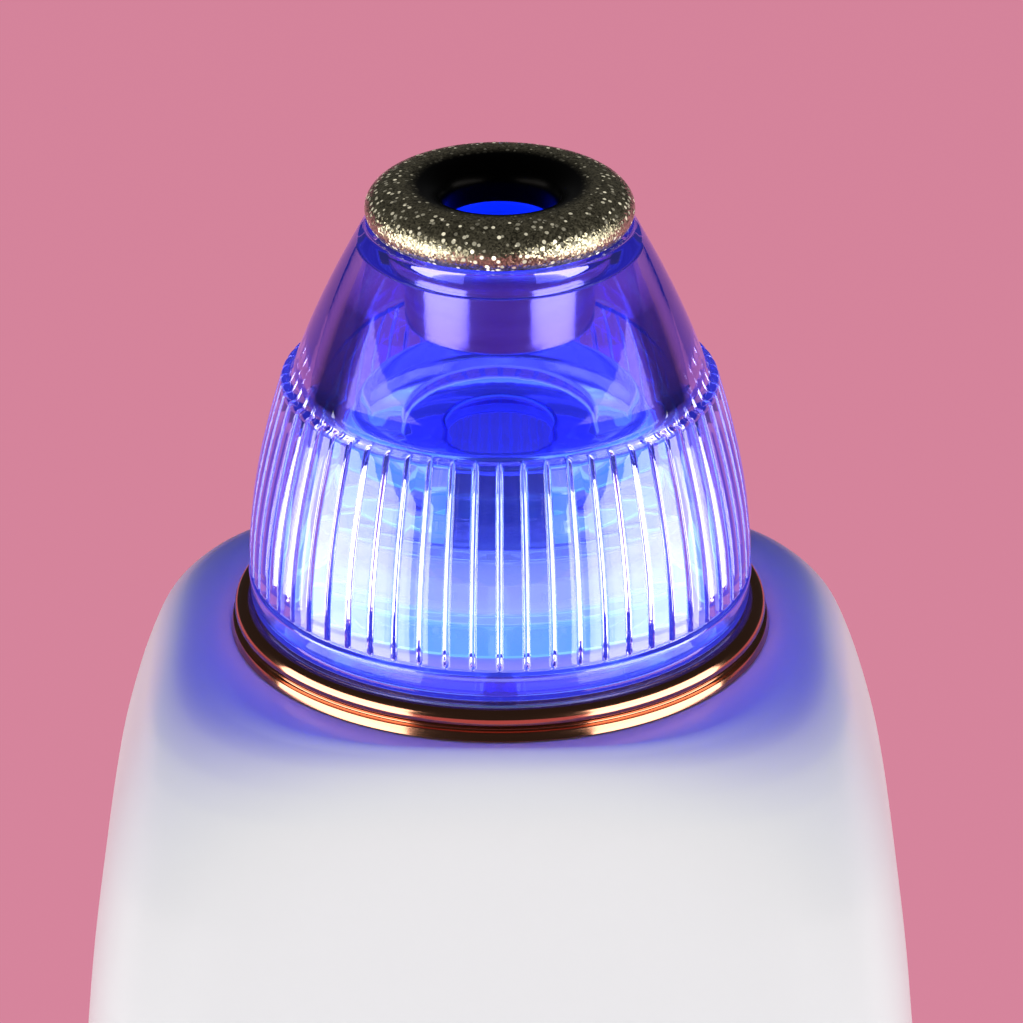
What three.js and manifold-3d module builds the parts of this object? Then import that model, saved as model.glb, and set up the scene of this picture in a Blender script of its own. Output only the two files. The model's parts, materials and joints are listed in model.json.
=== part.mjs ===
// Handheld microdermabrasion device: a glossy white body with a rose gold ring, a clear ribbed
// vacuum head lit from below, a diamond grit tip, and the pump, battery and boards that work it.
// Millimetres, +Z up, origin at the middle of the base, front face towards -Y.

import * as THREE from "three";
import { mergeVertices } from "three/addons/utils/BufferGeometryUtils.js";
import Module from "manifold-3d";

// Body shell and base cap
const body = {
  headroom: 24.8,
  halfWidth: 25.2,
  halfDepth: 19.5,
  wall: 2,
  topWall: 2.2,
  seamHeight: 6.2,
  seamGap: 0.3,
  boreRadius: 12.6,
  bossRadius: 2.4,
  bossSpan: 15.5,
  bossLength: 7.4,
  bossGap: 0.6,
};
// Height up the body, half width and half depth there, as shares of the three sizes above, and
// the power of the rounded section, which grows rounder towards the plateau.
const bodyShares = [
  [0.0443, 0.835, 0.845, 5],
  [0.2, 0.868, 0.888, 5],
  [0.4, 0.937, 0.95, 5],
  [0.56, 0.985, 0.99, 5],
  [0.665, 1, 1, 5],
  [0.75, 0.976, 0.985, 5],
  [0.85, 0.929, 0.955, 5],
  [0.885, 0.908, 0.943, 4.8],
  [0.925, 0.873, 0.927, 4.5],
  [0.952, 0.836, 0.915, 4.1],
  [0.971, 0.802, 0.902, 3.8],
  [0.983, 0.774, 0.885, 3.5],
  [0.9925, 0.73, 0.862, 3.2],
  [0.9975, 0.68, 0.835, 3],
  [1, 0.615, 0.8, 3],
];
const sectionSteps = 32;
const cavityRows = 6;

const cap = {
  floor: 2,
  edgeRadius: 2.2,
  spigotHeight: 4,
  spigotWall: 1.3,
  spigotGap: 0.25,
  seatHeight: 9.6,
  seatHalfLength: 8,
  seatWidth: 1.6,
  screwSpan: 12.8,
  bossRadius: 2.5,
  ventLength: 9,
  ventWidth: 1.6,
};
const ventCount = 3;
// Place of the first vent and the vents' pitch, as shares of the body's half depth.
const ventShares = [0.2923, 0.1487];
const capEdgeFrom = -90;
const capEdgeTo = 0;
const capEdgeSteps = 3;

// Clear vacuum head
const head = {
  baseLift: 1.85,
  bandHeight: 1.85,
  bandLip: 0.1,
  skirtHeight: 13.3,
  height: 22.3,
  bottomRadius: 13.95,
  shoulderRadius: 12.05,
  skirtSwell: 0.75,
  coneBaseRadius: 11.6,
  coneTopRadius: 7.48,
  coneSwell: 0.25,
  edgeBreak: 0.25,
  grooveDepth: 0.35,
  wall: 1.6,
  collarWall: 1.1,
  collarHeight: 20.9,
  socketRadius: 5.5,
  socketHeight: 20.1,
  socketLead: 0.4,
};
const ribCount = 60;
const ribRows = 2;
const skirtRows = 3;
const coneRows = 4;
const coneInnerRows = 2;
// Where one rib's groove and its flat land begin and end, as shares of one rib's pitch.
const ribLandShares = [0, 0.16, 0.84];
const skirtLeanShare = 1 / 3;
const bowMiddleShare = 0.25;

// Diamond tip, its sleeve and seals
const tip = {
  rimRadius: 5.25,
  rimHalfWidth: 2.15,
  rimHalfHeight: 1.47,
  rimHeight: 23.25,
  throatRadius: 3.05,
  throatLow: 22.2,
  throatHigh: 23.1,
  throatFlare: 1.1,
  boreRadius: 4.4,
  sleeveRadius: 5.3,
  sleeveBottom: 16.5,
  sleeveBreak: 0.2,
  grooveFloor: 4.88,
  grooveLow: 20.7,
  grooveHeight: 0.9,
  ringSection: 0.25,
};
const rimFrom = -45;
const rimTo = 180;
const rimSteps = 8;
const seatGap = 0.1;
const ringGap = 0.05;

// Nozzle bowl that guides the light and takes the air
const bowl = {
  flangeRadius: 14.4,
  flangeHeight: 1.2,
  flangeGap: 0.1,
  drumRadius: 11.6,
  drumTop: 3.7,
  middleRadius: 10.5,
  middleTop: 6.9,
  upperRadius: 9.2,
  upperTop: 8.6,
  rimRadius: 8.1,
  rimHeight: 11.7,
  rimWidth: 0.5,
  dishRadius: 5.4,
  dishHeight: 10.5,
  floorHeight: 9.95,
  wellRadius: 3.02,
  wellBottom: 3,
  sealHeight: 1.15,
  sealSection: 0.55,
  sealDepth: 0.65,
  lampInner: 6.8,
  lampOuter: 10.8,
  lampDepth: 3,
  stemRadius: 3.8,
  stemLength: 3.4,
  barbRadius: 1.6,
  barbLength: 5.4,
  barbBore: 0.9,
};
const filter = { radius: 2.82, height: 4.2, gap: 0.1 };

// Rose gold ring round the foot of the head
const bezel = {
  innerRadius: 12.9,
  ledgeHeight: 1.5,
  ledgeRadius: 13.65,
  beadRadius: 14.3,
  beadSection: 0.65,
  beadHeight: 1.15,
  footRadius: 15.2,
  footHeight: 0.6,
  footNeck: 14.8,
  gap: 0.06,
};
const beadFrom = -45;
const beadTo = 140;
const beadSteps = 6;

// Lamp board under the bowl
const lamps = {
  boardRadius: 11.4,
  boardBore: 4.6,
  boardThick: 1.2,
  chip: 2.8,
  chipHeight: 1,
  circleRadius: 8.8,
  gap: 0.1,
};
const lampCount = 6;
const nozzleScrew = {
  circleRadius: 13.1,
  radius: 0.7,
  headRadius: 1.25,
  headHeight: 0.8,
  bite: 1.5,
  holeGap: 0.2,
};
const nozzleScrewCount = 3;

// Buttons, indicator lights and the main board behind them
const power = {
  height: 96,
  radius: 6,
  proud: 0.35,
  gap: 0.3,
  dish: 0.4,
  trimWall: 0.9,
  trimLip: 0.7,
  trimProud: 0.3,
};
const level = { height: 60, radius: 4.4, proud: 0.5, gap: 0.3, dish: 0.25 };
const button = {
  flangeLip: 0.75,
  flangeThick: 0.8,
  flangeGap: 0.25,
  stemRadius: 1.5,
  edgeBreak: 0.4,
  travel: 0.6,
};
const light = {
  radius: 1.2,
  gap: 0.15,
  lowest: 73,
  pitch: 5,
  chip: 1.6,
  chipHeight: 0.7,
  airGap: 0.3,
};
const lightCount = 3;
const board = {
  room: 7.2,
  thick: 1.6,
  halfWidth: 11,
  bottom: 7.6,
  top: 105,
  screwRise: 3,
  chip: 7,
  chipHeight: 1.2,
  chipRise: 34,
};
const tact = { size: 6, height: 1.9, plungerRadius: 1.6, plungerHeight: 0.7, gap: 0.1 };
const socket = {
  width: 8.9,
  thick: 3.2,
  length: 7.4,
  recess: 0.5,
  mouthWidth: 7.6,
  mouthThick: 2,
  mouthDepth: 5.8,
  tongueWidth: 6,
  tongueThick: 0.7,
  clear: 0.2,
};
const socketEndSteps = 6;

// Frame that carries the works
const works = { axis: 3.2, gap: 0.3 };
const frame = {
  plateGap: 0.1,
  plateThick: 1.2,
  halfWidth: 14.5,
  bottom: 11,
  deckThick: 1.8,
  deckHalfDepth: 9,
  footThick: 2,
  footDepth: 9,
  saddleThick: 3,
  saddleHalfWidth: 12.4,
  saddleBack: 0.8,
  postRadius: 1.5,
  postCircle: 9.2,
  hoseHole: 4.4,
  earRadius: 2.4,
};
const postCount = 3;
const saddleShares = [0.16, 0.84];
const cell = { radius: 9.15, length: 50, bottom: 10, capRadius: 3, capHeight: 1, edge: 0.8 };
const frameScrew = { radius: 0.9, headRadius: 1.9, headHeight: 1.2, bite: 5 };
const baseScrew = { radius: 0.9, headRadius: 1.9, headHeight: 1.2, sink: 0.8, bite: 1.4 };
const boardScrew = { radius: 0.8, headRadius: 1.6, headHeight: 0.9, bite: 1 };
const screwGap = 0.15;
const slotWidthShare = 0.28;
const slotDepthShare = 0.5;

// Motor and diaphragm pump
const motor = {
  radius: 10.2,
  cellRoom: 5,
  length: 25.6,
  bossRadius: 3,
  bossHeight: 1,
  shaftRadius: 1,
  shaftGap: 0.12,
  capHeight: 1.9,
  capRadius: 9.4,
  edge: 0.8,
  sleeveWall: 0.9,
  sleeveMargin: 3.5,
  partGap: 0.12,
  flat: 0.9,
};
const pump = {
  radius: 11.4,
  wall: 1.2,
  motorRoom: 0.4,
  caseHeight: 17.6,
  floor: 1.5,
  partGap: 0.1,
  rubberThick: 1.2,
  cupRadius: 3.4,
  cupCircle: 5.3,
  cupDepth: 3.6,
  cupWall: 0.7,
  nubRadius: 0.8,
  nubLength: 3.2,
  valveThick: 1.7,
  valveHole: 0.8,
  lidThick: 3.4,
  lidRecess: 1.6,
  nozzleRadius: 1.6,
  nozzleLength: 4.2,
  nozzleBore: 0.9,
  nozzleOffset: 5,
  screwCircle: 9.4,
  screwRadius: 0.7,
  screwHeadRadius: 1.3,
  screwHeadHeight: 0.9,
  screwBite: 8,
};
const cupCount = 3;
const pumpScrewCount = 2;
const crank = {
  hubRadius: 4.2,
  hubRise: 3.4,
  hubHeight: 3.4,
  pinRadius: 0.7,
  pinOffset: 1.5,
  pinRise: 6.4,
  tailBelow: 2.6,
};
const pinSegments = 5;
const wobble = {
  rise: 11.9,
  thick: 1.3,
  armRadius: 7.2,
  hubRadius: 3.2,
  bore: 2.1,
  armWidth: 3.2,
  nubGap: 0.2,
};
const hose = { radius: 2.9, bore: 1.85, gap: 0.3, lead: 0.9 };
const hoseSides = 8;
const hoseSteps = 9;

// One length that every cutter runs past the face it cuts.
const overrun = 1;
const roundSteps = 30;
const middleSteps = 16;
const smallSteps = 8;
const screwSteps = 6;
const sealSides = 5;
const turn = 2 * Math.PI;
const fullCircle = 360;

const wasm = await Module();
wasm.setup();

// Solids: geometry to solid and back
function solidOf(geometry) {
  const bare = geometry.index ? geometry.toNonIndexed() : geometry.clone();
  bare.deleteAttribute("normal");
  bare.deleteAttribute("uv");
  const merged = mergeVertices(bare);
  const corners = [];
  for (let i = 0; i < merged.index.count; i += 3) {
    const [a, b, c] = merged.index.array.subarray(i, i + 3);
    if (a !== b && b !== c && c !== a) corners.push(a, b, c);
  }
  const make = (triVerts) =>
    new wasm.Manifold(
      new wasm.Mesh({
        numProp: 3,
        vertProperties: Float32Array.from(merged.attributes.position.array),
        triVerts: Uint32Array.from(triVerts),
      }),
    );
  const solid = make(corners);
  return solid.volume() > 0 ? solid : make(corners.toReversed());
}

function geometryOf(solid) {
  const mesh = solid.getMesh();
  const points = new Float32Array(mesh.numVert * 3);
  for (let i = 0; i < mesh.numVert; i++) {
    points.set(mesh.vertProperties.subarray(i * mesh.numProp, i * mesh.numProp + 3), i * 3);
  }
  const geometry = new THREE.BufferGeometry();
  geometry.setAttribute("position", new THREE.BufferAttribute(points, 3));
  geometry.setIndex(new THREE.BufferAttribute(mesh.triVerts, 1));
  geometry.computeVertexNormals();
  return geometry;
}

const join = (first, ...rest) => rest.reduce((sum, next) => sum.add(next), first);
const cut = (first, ...rest) => rest.reduce((left, next) => left.subtract(next), first);

// A profile of [radius, height] points turned about Z. It runs from axis to axis or closes on itself.
function revolve(profile, steps = roundSteps) {
  const points = profile.map(([radius, height]) => new THREE.Vector2(radius, height));
  if (profile[0][0] > 0) points.push(points[0].clone());
  return solidOf(new THREE.LatheGeometry(points, steps).rotateX(turn / 4));
}

// Upright round shapes
function rod(radius, low, high, x = 0, y = 0, steps = smallSteps) {
  const geometry = new THREE.CylinderGeometry(radius, radius, high - low, steps).rotateX(turn / 4);
  return solidOf(geometry.translate(x, y, (low + high) / 2));
}

function ring(inner, outer, low, high, steps = roundSteps) {
  return revolve([[inner, low], [outer, low], [outer, high], [inner, high]], steps);
}

// A round bar along Y, from its front end to its back end
function bar(radius, front, back, x, z, steps = smallSteps) {
  const geometry = new THREE.CylinderGeometry(radius, radius, back - front, steps);
  return solidOf(geometry.translate(x, (front + back) / 2, z));
}

function box(low, high) {
  const size = high.map((value, i) => value - low[i]);
  const middle = high.map((value, i) => (value + low[i]) / 2);
  return solidOf(new THREE.BoxGeometry(...size).translate(...middle));
}

const moved = (solid, x, y, z) => solidOf(geometryOf(solid).translate(x, y, z));

// A profile turned about a line along Y: radius and depth, with depth measured towards the back
function revolveAlongY(profile, x, z, steps) {
  return solidOf(geometryOf(revolve(profile, steps)).rotateX(-turn / 4).translate(x, 0, z));
}

// Points of an arc of an ellipse, angles in degrees
function arc(x, y, halfX, halfY, from, to, steps) {
  return Array.from({ length: steps + 1 }, (_, i) => {
    const angle = THREE.MathUtils.degToRad(from + ((to - from) * i) / steps);
    return [x + halfX * Math.cos(angle), y + halfY * Math.sin(angle)];
  });
}

// Body form: a rounded box whose half width and half depth follow the shares up its height
function bodySizeAt(height) {
  const share = height / plateau;
  const last = bodyShares.length - 1;
  const above = bodyShares.findIndex(([rise]) => rise >= share);
  const upper = bodyShares[above < 0 ? last : Math.max(above, 1)];
  const lower = bodyShares[above < 0 ? last - 1 : Math.max(above, 1) - 1];
  const blend = (share - lower[0]) / (upper[0] - lower[0]);
  const mix = (i) => lower[i] + (upper[i] - lower[i]) * blend;
  return { width: mix(1) * body.halfWidth, depth: mix(2) * body.halfDepth, power: mix(3) };
}

const signedPower = (value, power) => Math.sign(value) * Math.abs(value) ** power;

function sectionAt(height, halfWidth, halfDepth) {
  const { power } = bodySizeAt(height);
  return Array.from({ length: sectionSteps }, (_, i) => {
    const angle = (turn * i) / sectionSteps;
    const across = halfWidth * signedPower(Math.cos(angle), 2 / power);
    const deep = halfDepth * signedPower(Math.sin(angle), 2 / power);
    return new THREE.Vector3(across, deep, height);
  });
}

// Sections of equal counts joined one to the next, with flat ends
function loft(sections) {
  const count = sections[0].length;
  const points = sections.flat();
  const low = points.length;
  const high = low + 1;
  points.push(new THREE.Vector3(0, 0, sections[0][0].z));
  points.push(new THREE.Vector3(0, 0, sections.at(-1)[0].z));
  const corners = [];
  sections.slice(1).forEach((_, row) => {
    for (let i = 0; i < count; i++) {
      const a = row * count + i;
      const b = row * count + ((i + 1) % count);
      corners.push(a, b, b + count, a, b + count, a + count);
    }
  });
  const top = (sections.length - 1) * count;
  for (let i = 0; i < count; i++) {
    const next = (i + 1) % count;
    corners.push(low, next, i, high, top + i, top + next);
  }
  const geometry = new THREE.BufferGeometry().setFromPoints(points);
  geometry.setIndex(corners);
  return solidOf(geometry);
}

// Key heights: the cell, motor and pump stand one on the other, and the plateau closes over them
const cellTop = cell.bottom + cell.length;
const motorBottom = cellTop + motor.cellRoom;
const motorTop = motorBottom + motor.length;
const caseBottom = motorTop + pump.motorRoom;
const caseTop = caseBottom + pump.caseHeight;
const rubberLow = caseTop + pump.partGap;
const rubberTop = rubberLow + pump.rubberThick;
const valveLow = rubberTop + pump.partGap;
const valveTop = valveLow + pump.valveThick;
const lidLow = valveTop + pump.partGap;
const lidTop = lidLow + pump.lidThick;
const plateau = lidTop + body.headroom;
const cavityTop = plateau - body.topWall;
const bossLow = cavityTop - body.bossLength;
const frameTop = bossLow - body.bossGap;
const headBase = plateau + head.baseLift;
const up = (rise) => headBase + rise;
const flangeTop = cavityTop - bowl.flangeGap;
const flangeLow = flangeTop - bowl.flangeHeight;
const lampTop = flangeLow - lamps.gap;
const lampLow = lampTop - lamps.boardThick;
const barbEnd = lampLow - bowl.stemLength - bowl.barbLength + bowl.flangeHeight;
const around = (count, i, start = 0) => start + (turn * i) / count;
const nozzleScrewPlaces = Array.from({ length: nozzleScrewCount }, (_, i) => {
  const angle = around(nozzleScrewCount, i, turn / 4);
  return [Math.cos(angle), Math.sin(angle)].map((part) => nozzleScrew.circleRadius * part);
});
const frontAt = (height) => -bodySizeAt(height).depth;
const boardFront = board.room - body.halfDepth;
const boardBack = boardFront + board.thick;
const plateFront = boardBack + frame.plateGap;
const plateBack = plateFront + frame.plateThick;
const plateMiddle = (plateFront + plateBack) / 2;
const socketMiddle = boardBack + socket.clear + socket.thick / 2;
const lightHeights = Array.from({ length: lightCount }, (_, i) => light.lowest + i * light.pitch);
const trimOuter = power.radius + power.gap + power.trimWall;

function bodyShell() {
  const outer = loft(
    bodyShares.map(([rise, across, deep]) =>
      sectionAt(rise * plateau, across * body.halfWidth, deep * body.halfDepth),
    ),
  );
  const cavity = loft(
    Array.from({ length: cavityRows }, (_, i) => {
      const height = (cavityTop * i) / (cavityRows - 1);
      const size = bodySizeAt(height);
      return sectionAt(height, size.width - body.wall, size.depth - body.wall);
    }),
  );
  const seam = body.seamHeight;
  const below = box(
    [-body.halfWidth - overrun, -body.halfDepth - overrun, -overrun],
    [body.halfWidth + overrun, body.halfDepth + overrun, seam + body.seamGap / 2],
  );
  const bosses = [-1, 1].map((side) =>
    rod(body.bossRadius, bossLow, cavityTop + overrun, side * body.bossSpan, 0),
  );
  const pilots = [-1, 1].map((side) =>
    rod(
      frameScrew.radius + screwGap,
      bossLow - overrun,
      bossLow + frameScrew.bite + screwGap,
      side * body.bossSpan,
      0,
    ),
  );
  const pilotTop = cavityTop + nozzleScrew.bite + screwGap;
  const nozzlePilots = nozzleScrewPlaces.map(([x, y]) =>
    rod(nozzleScrew.radius + screwGap, cavityTop - overrun, pilotTop, x, y),
  );
  const outside = -body.halfDepth - overrun;
  const holes = [
    rod(body.boreRadius, cavityTop - overrun, plateau + overrun, 0, 0, roundSteps),
    bar(trimOuter + screwGap, outside, boardFront, 0, power.height, middleSteps),
    bar(level.radius + level.gap, outside, boardFront, 0, level.height, middleSteps),
    ...lightHeights.map((height) => bar(light.radius + light.gap, outside, boardFront, 0, height)),
  ];
  return cut(join(cut(outer, cavity), ...bosses), below, ...pilots, ...nozzlePilots, ...holes);
}

function baseCap() {
  const seam = body.seamHeight - body.seamGap / 2;
  const base = bodySizeAt(body.seamHeight);
  const edge = arc(0, 0, cap.edgeRadius, cap.edgeRadius, capEdgeFrom, capEdgeTo, capEdgeSteps);
  const rows = edge.map(([inset, rise]) =>
    sectionAt(
      cap.edgeRadius + rise,
      base.width - cap.edgeRadius + inset,
      base.depth - cap.edgeRadius + inset,
    ),
  );
  const outer = loft([...rows, sectionAt(seam, base.width, base.depth)]);
  const spigotTop = body.seamHeight + cap.spigotHeight;
  const inset = body.wall + cap.spigotGap;
  const prism = (from, to, less) =>
    loft([from, to].map((height) => sectionAt(height, base.width - less, base.depth - less)));
  const spigot = prism(seam - overrun, spigotTop, inset);
  const hollow = prism(cap.floor, spigotTop + overrun, inset + cap.spigotWall);
  const seats = [
    box(
      [-cap.seatHalfLength, works.axis - cap.seatWidth / 2, cap.floor - overrun],
      [cap.seatHalfLength, works.axis + cap.seatWidth / 2, cap.seatHeight],
    ),
    box(
      [-cap.seatWidth / 2, works.axis - cap.seatHalfLength, cap.floor - overrun],
      [cap.seatWidth / 2, works.axis + cap.seatHalfLength, cap.seatHeight],
    ),
  ];
  const bossTop = frame.bottom - works.gap;
  const bosses = [-1, 1].map((side) =>
    rod(cap.bossRadius, cap.floor - overrun, bossTop, side * cap.screwSpan, works.axis),
  );
  const sinkTop = baseScrew.sink + baseScrew.headHeight + screwGap;
  const bores = [-1, 1].flatMap((side) => [
    rod(baseScrew.radius + screwGap, -overrun, bossTop + overrun, side * cap.screwSpan, works.axis),
    rod(baseScrew.headRadius + screwGap, -overrun, sinkTop, side * cap.screwSpan, works.axis),
  ]);
  const portHalfWidth = socket.width / 2 + socket.clear;
  const portHalfDepth = socket.thick / 2 + socket.clear;
  const port = box(
    [-portHalfWidth, socketMiddle - portHalfDepth, -overrun],
    [portHalfWidth, socketMiddle + portHalfDepth, cap.floor + overrun],
  );
  const [firstShare, pitchShare] = ventShares;
  const vents = Array.from({ length: ventCount }, (_, i) => {
    const y = (firstShare + i * pitchShare) * body.halfDepth;
    return box(
      [-cap.ventLength / 2, y - cap.ventWidth / 2, -overrun],
      [cap.ventLength / 2, y + cap.ventWidth / 2, cap.floor + overrun],
    );
  });
  return cut(join(cut(join(outer, spigot), hollow), ...seats, ...bosses), ...bores, port, ...vents);
}

const between = ([from, to], share) => from + (to - from) * share;

const spread = (from, to, count) =>
  Array.from({ length: count + 1 }, (_, i) => between([from, to], i / count));

// A bow one high over a span from 0 to 1, fuller towards its start when it leans
const bow = (share, leanShare) => (share * (1 - share) * (1 - share * leanShare)) / bowMiddleShare;

// Skirt radius up the head, from its foot to its shoulder, on a curve that bows outwards
function skirtRadius(rise) {
  const share = rise / head.skirtHeight;
  const straight = between([head.bottomRadius, head.shoulderRadius], share);
  return straight + head.skirtSwell * bow(share, skirtLeanShare);
}

function coneRadius(rise) {
  const share = (rise - head.skirtHeight) / (head.height - head.skirtHeight);
  const straight = between([head.coneBaseRadius, head.coneTopRadius], share);
  return straight + head.coneSwell * bow(share, 0);
}

// The grip ribs: rows whose radius drops into a groove at the start of each rib's pitch
function ribZone() {
  return loft(
    spread(head.bandHeight - head.edgeBreak, head.skirtHeight, ribRows).map((rise) =>
      Array.from({ length: ribCount * ribLandShares.length }, (_, i) => {
        const place = i % ribLandShares.length;
        const rib = (i - place) / ribLandShares.length;
        const angle = (turn * (rib + ribLandShares[place])) / ribCount;
        const radius = skirtRadius(rise) - (place === 0 ? head.grooveDepth : 0);
        return new THREE.Vector3(radius * Math.cos(angle), radius * Math.sin(angle), up(rise));
      }),
    ),
  );
}

function clearHead() {
  const band = revolve([
    [0, up(0)],
    [head.bottomRadius - head.edgeBreak, up(0)],
    [head.bottomRadius + head.bandLip, up(head.edgeBreak)],
    [skirtRadius(head.bandHeight) + head.bandLip, up(head.bandHeight)],
    [0, up(head.bandHeight)],
  ]);
  const cone = revolve([
    [0, up(head.skirtHeight - head.edgeBreak)],
    [head.coneBaseRadius, up(head.skirtHeight - head.edgeBreak)],
    ...spread(head.skirtHeight, head.height - head.edgeBreak, coneRows).map((rise) => [
      coneRadius(rise),
      up(rise),
    ]),
    [head.coneTopRadius - head.edgeBreak, up(head.height)],
    [0, up(head.height)],
  ]);
  const cavity = revolve([
    [0, up(-overrun)],
    [skirtRadius(0) - head.wall, up(-overrun)],
    ...spread(0, head.skirtHeight - head.wall, skirtRows).map((rise) => [
      skirtRadius(rise) - head.wall,
      up(rise),
    ]),
    ...spread(head.skirtHeight, head.collarHeight, coneInnerRows).map((rise, i) => [
      coneRadius(rise) - between([head.wall, head.collarWall], i / coneInnerRows),
      up(rise),
    ]),
    [head.socketRadius + head.socketLead, up(head.socketHeight)],
    [head.socketRadius, up(head.socketHeight + head.socketLead)],
    [head.socketRadius, up(head.height + overrun)],
    [0, up(head.height + overrun)],
  ]);
  return cut(join(band, ribZone(), cone), cavity);
}

function diamondTip() {
  const seat = up(head.height) + seatGap;
  const rim = arc(
    tip.rimRadius,
    up(tip.rimHeight),
    tip.rimHalfWidth,
    tip.rimHalfHeight,
    rimFrom,
    rimTo,
    rimSteps,
  );
  return revolve([
    [tip.boreRadius, up(tip.sleeveBottom)],
    [tip.sleeveRadius - tip.sleeveBreak, up(tip.sleeveBottom)],
    [tip.sleeveRadius, up(tip.sleeveBottom + tip.sleeveBreak)],
    [tip.sleeveRadius, up(tip.grooveLow)],
    [tip.grooveFloor, up(tip.grooveLow)],
    [tip.grooveFloor, up(tip.grooveLow + tip.grooveHeight)],
    [tip.sleeveRadius, up(tip.grooveLow + tip.grooveHeight)],
    [tip.sleeveRadius, seat],
    ...rim.filter(([radius, height]) => radius < tip.rimRadius || height > seat),
    [tip.throatRadius, up(tip.throatHigh)],
    [tip.throatRadius, up(tip.throatLow)],
    [tip.boreRadius, up(tip.throatLow - tip.throatFlare)],
  ]);
}

function sealRing(middle, section, height, sides) {
  return revolve(arc(middle, height, section, section, 0, fullCircle - fullCircle / sides, sides - 1));
}

function tipRing() {
  const height = up(tip.grooveLow + tip.grooveHeight / 2);
  return sealRing(tip.grooveFloor + ringGap + tip.ringSection, tip.ringSection, height, sealSides);
}

function headSeal() {
  const middle = bowl.drumRadius - bowl.sealDepth + ringGap + bowl.sealSection;
  return sealRing(middle, bowl.sealSection, up(bowl.sealHeight), sealSides);
}

function nozzleBowl() {
  const sealLow = bowl.sealHeight - bowl.sealSection - ringGap;
  const sealHigh = bowl.sealHeight + bowl.sealSection + ringGap;
  const stemLow = lampLow - bowl.stemLength + bowl.flangeHeight;
  const lampHigh = flangeLow + bowl.lampDepth;
  const solid = revolve([
    [bowl.barbBore, barbEnd],
    [bowl.barbRadius, barbEnd],
    [bowl.barbRadius, stemLow],
    [bowl.stemRadius, stemLow],
    [bowl.stemRadius, flangeLow],
    [bowl.lampInner, flangeLow],
    [bowl.lampInner, lampHigh],
    [bowl.lampOuter, lampHigh],
    [bowl.lampOuter, flangeLow],
    [bowl.flangeRadius, flangeLow],
    [bowl.flangeRadius, flangeTop],
    [bowl.drumRadius, flangeTop],
    [bowl.drumRadius, up(sealLow)],
    [bowl.drumRadius - bowl.sealDepth, up(sealLow)],
    [bowl.drumRadius - bowl.sealDepth, up(sealHigh)],
    [bowl.drumRadius, up(sealHigh)],
    [bowl.drumRadius, up(bowl.drumTop)],
    [bowl.middleRadius, up(bowl.drumTop)],
    [bowl.middleRadius, up(bowl.middleTop)],
    [bowl.upperRadius, up(bowl.middleTop)],
    [bowl.upperRadius, up(bowl.upperTop)],
    [bowl.rimRadius, up(bowl.rimHeight)],
    [bowl.rimRadius - bowl.rimWidth, up(bowl.rimHeight)],
    [bowl.dishRadius, up(bowl.dishHeight)],
    [bowl.dishRadius, up(bowl.floorHeight)],
    [bowl.wellRadius, up(bowl.floorHeight)],
    [bowl.wellRadius, up(bowl.wellBottom)],
    [bowl.barbBore, up(bowl.wellBottom)],
  ]);
  const low = flangeLow - overrun;
  const high = flangeTop + bowl.flangeGap / 2;
  const holes = nozzleScrewPlaces.map(([x, y]) =>
    rod(nozzleScrew.radius + nozzleScrew.holeGap, low, high, x, y),
  );
  const notches = [-1, 1].map((side) =>
    rod(body.bossRadius + works.gap, low, high, side * body.bossSpan, 0),
  );
  return cut(solid, ...holes, ...notches);
}

function feltFilter() {
  const low = up(bowl.wellBottom) + filter.gap;
  return rod(filter.radius, low, low + filter.height, 0, 0, middleSteps);
}

function bezelRing() {
  const low = plateau + bezel.gap;
  const bead = arc(
    bezel.beadRadius,
    plateau + bezel.beadHeight,
    bezel.beadSection,
    bezel.beadSection,
    beadFrom,
    beadTo,
    beadSteps,
  );
  return revolve([
    [bezel.innerRadius, low],
    [bezel.footRadius, low],
    [bezel.footNeck, plateau + bezel.footHeight],
    ...bead,
    [bezel.ledgeRadius, plateau + bezel.ledgeHeight],
    [bezel.innerRadius, plateau + bezel.ledgeHeight],
  ]);
}

function lampBoard() {
  return ring(lamps.boardBore, lamps.boardRadius, lampLow, lampTop, middleSteps);
}

function lampChip(i) {
  const angle = around(lampCount, i);
  const chip = new THREE.BoxGeometry(lamps.chip, lamps.chip, lamps.chipHeight);
  chip.translate(lamps.circleRadius, 0, lampTop + lamps.gap + lamps.chipHeight / 2);
  return solidOf(chip.rotateZ(angle));
}

// A screw that points up: a slotted head below its seat and a shank above it
function screwUp(size, x, y, seat, shank) {
  const crown = rod(size.headRadius, seat - size.headHeight, seat);
  const slotHalf = size.headRadius * slotWidthShare;
  const slot = box(
    [-size.headRadius - overrun, -slotHalf / 2, seat - size.headHeight - overrun],
    [size.headRadius + overrun, slotHalf / 2, seat - size.headHeight * slotDepthShare],
  );
  const shaftLow = seat - size.headHeight * slotDepthShare;
  const shaft = rod(size.radius, shaftLow, seat + shank, 0, 0, screwSteps);
  return moved(join(cut(crown, slot), shaft), x, y, 0);
}

function nozzleScrewAt(i) {
  const [x, y] = nozzleScrewPlaces[i];
  const seat = flangeLow - screwGap;
  return screwUp(nozzleScrew, x, y, seat, cavityTop + nozzleScrew.bite - seat);
}

function frameScrewAt(side) {
  const seat = frameTop - frame.deckThick - screwGap;
  const tipHeight = bossLow + frameScrew.bite;
  return screwUp(frameScrew, side * body.bossSpan, 0, seat, tipHeight - seat);
}

function baseScrewAt(side) {
  const seat = baseScrew.sink + baseScrew.headHeight;
  const shank = frame.bottom + baseScrew.bite - seat;
  return screwUp(baseScrew, side * cap.screwSpan, works.axis, seat, shank);
}

// Buttons: a cap that stands in its hole, a flange behind the wall and a stem to the switch
const plungerFront = boardFront - tact.height - tact.plungerHeight - 2 * tact.gap;

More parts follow.
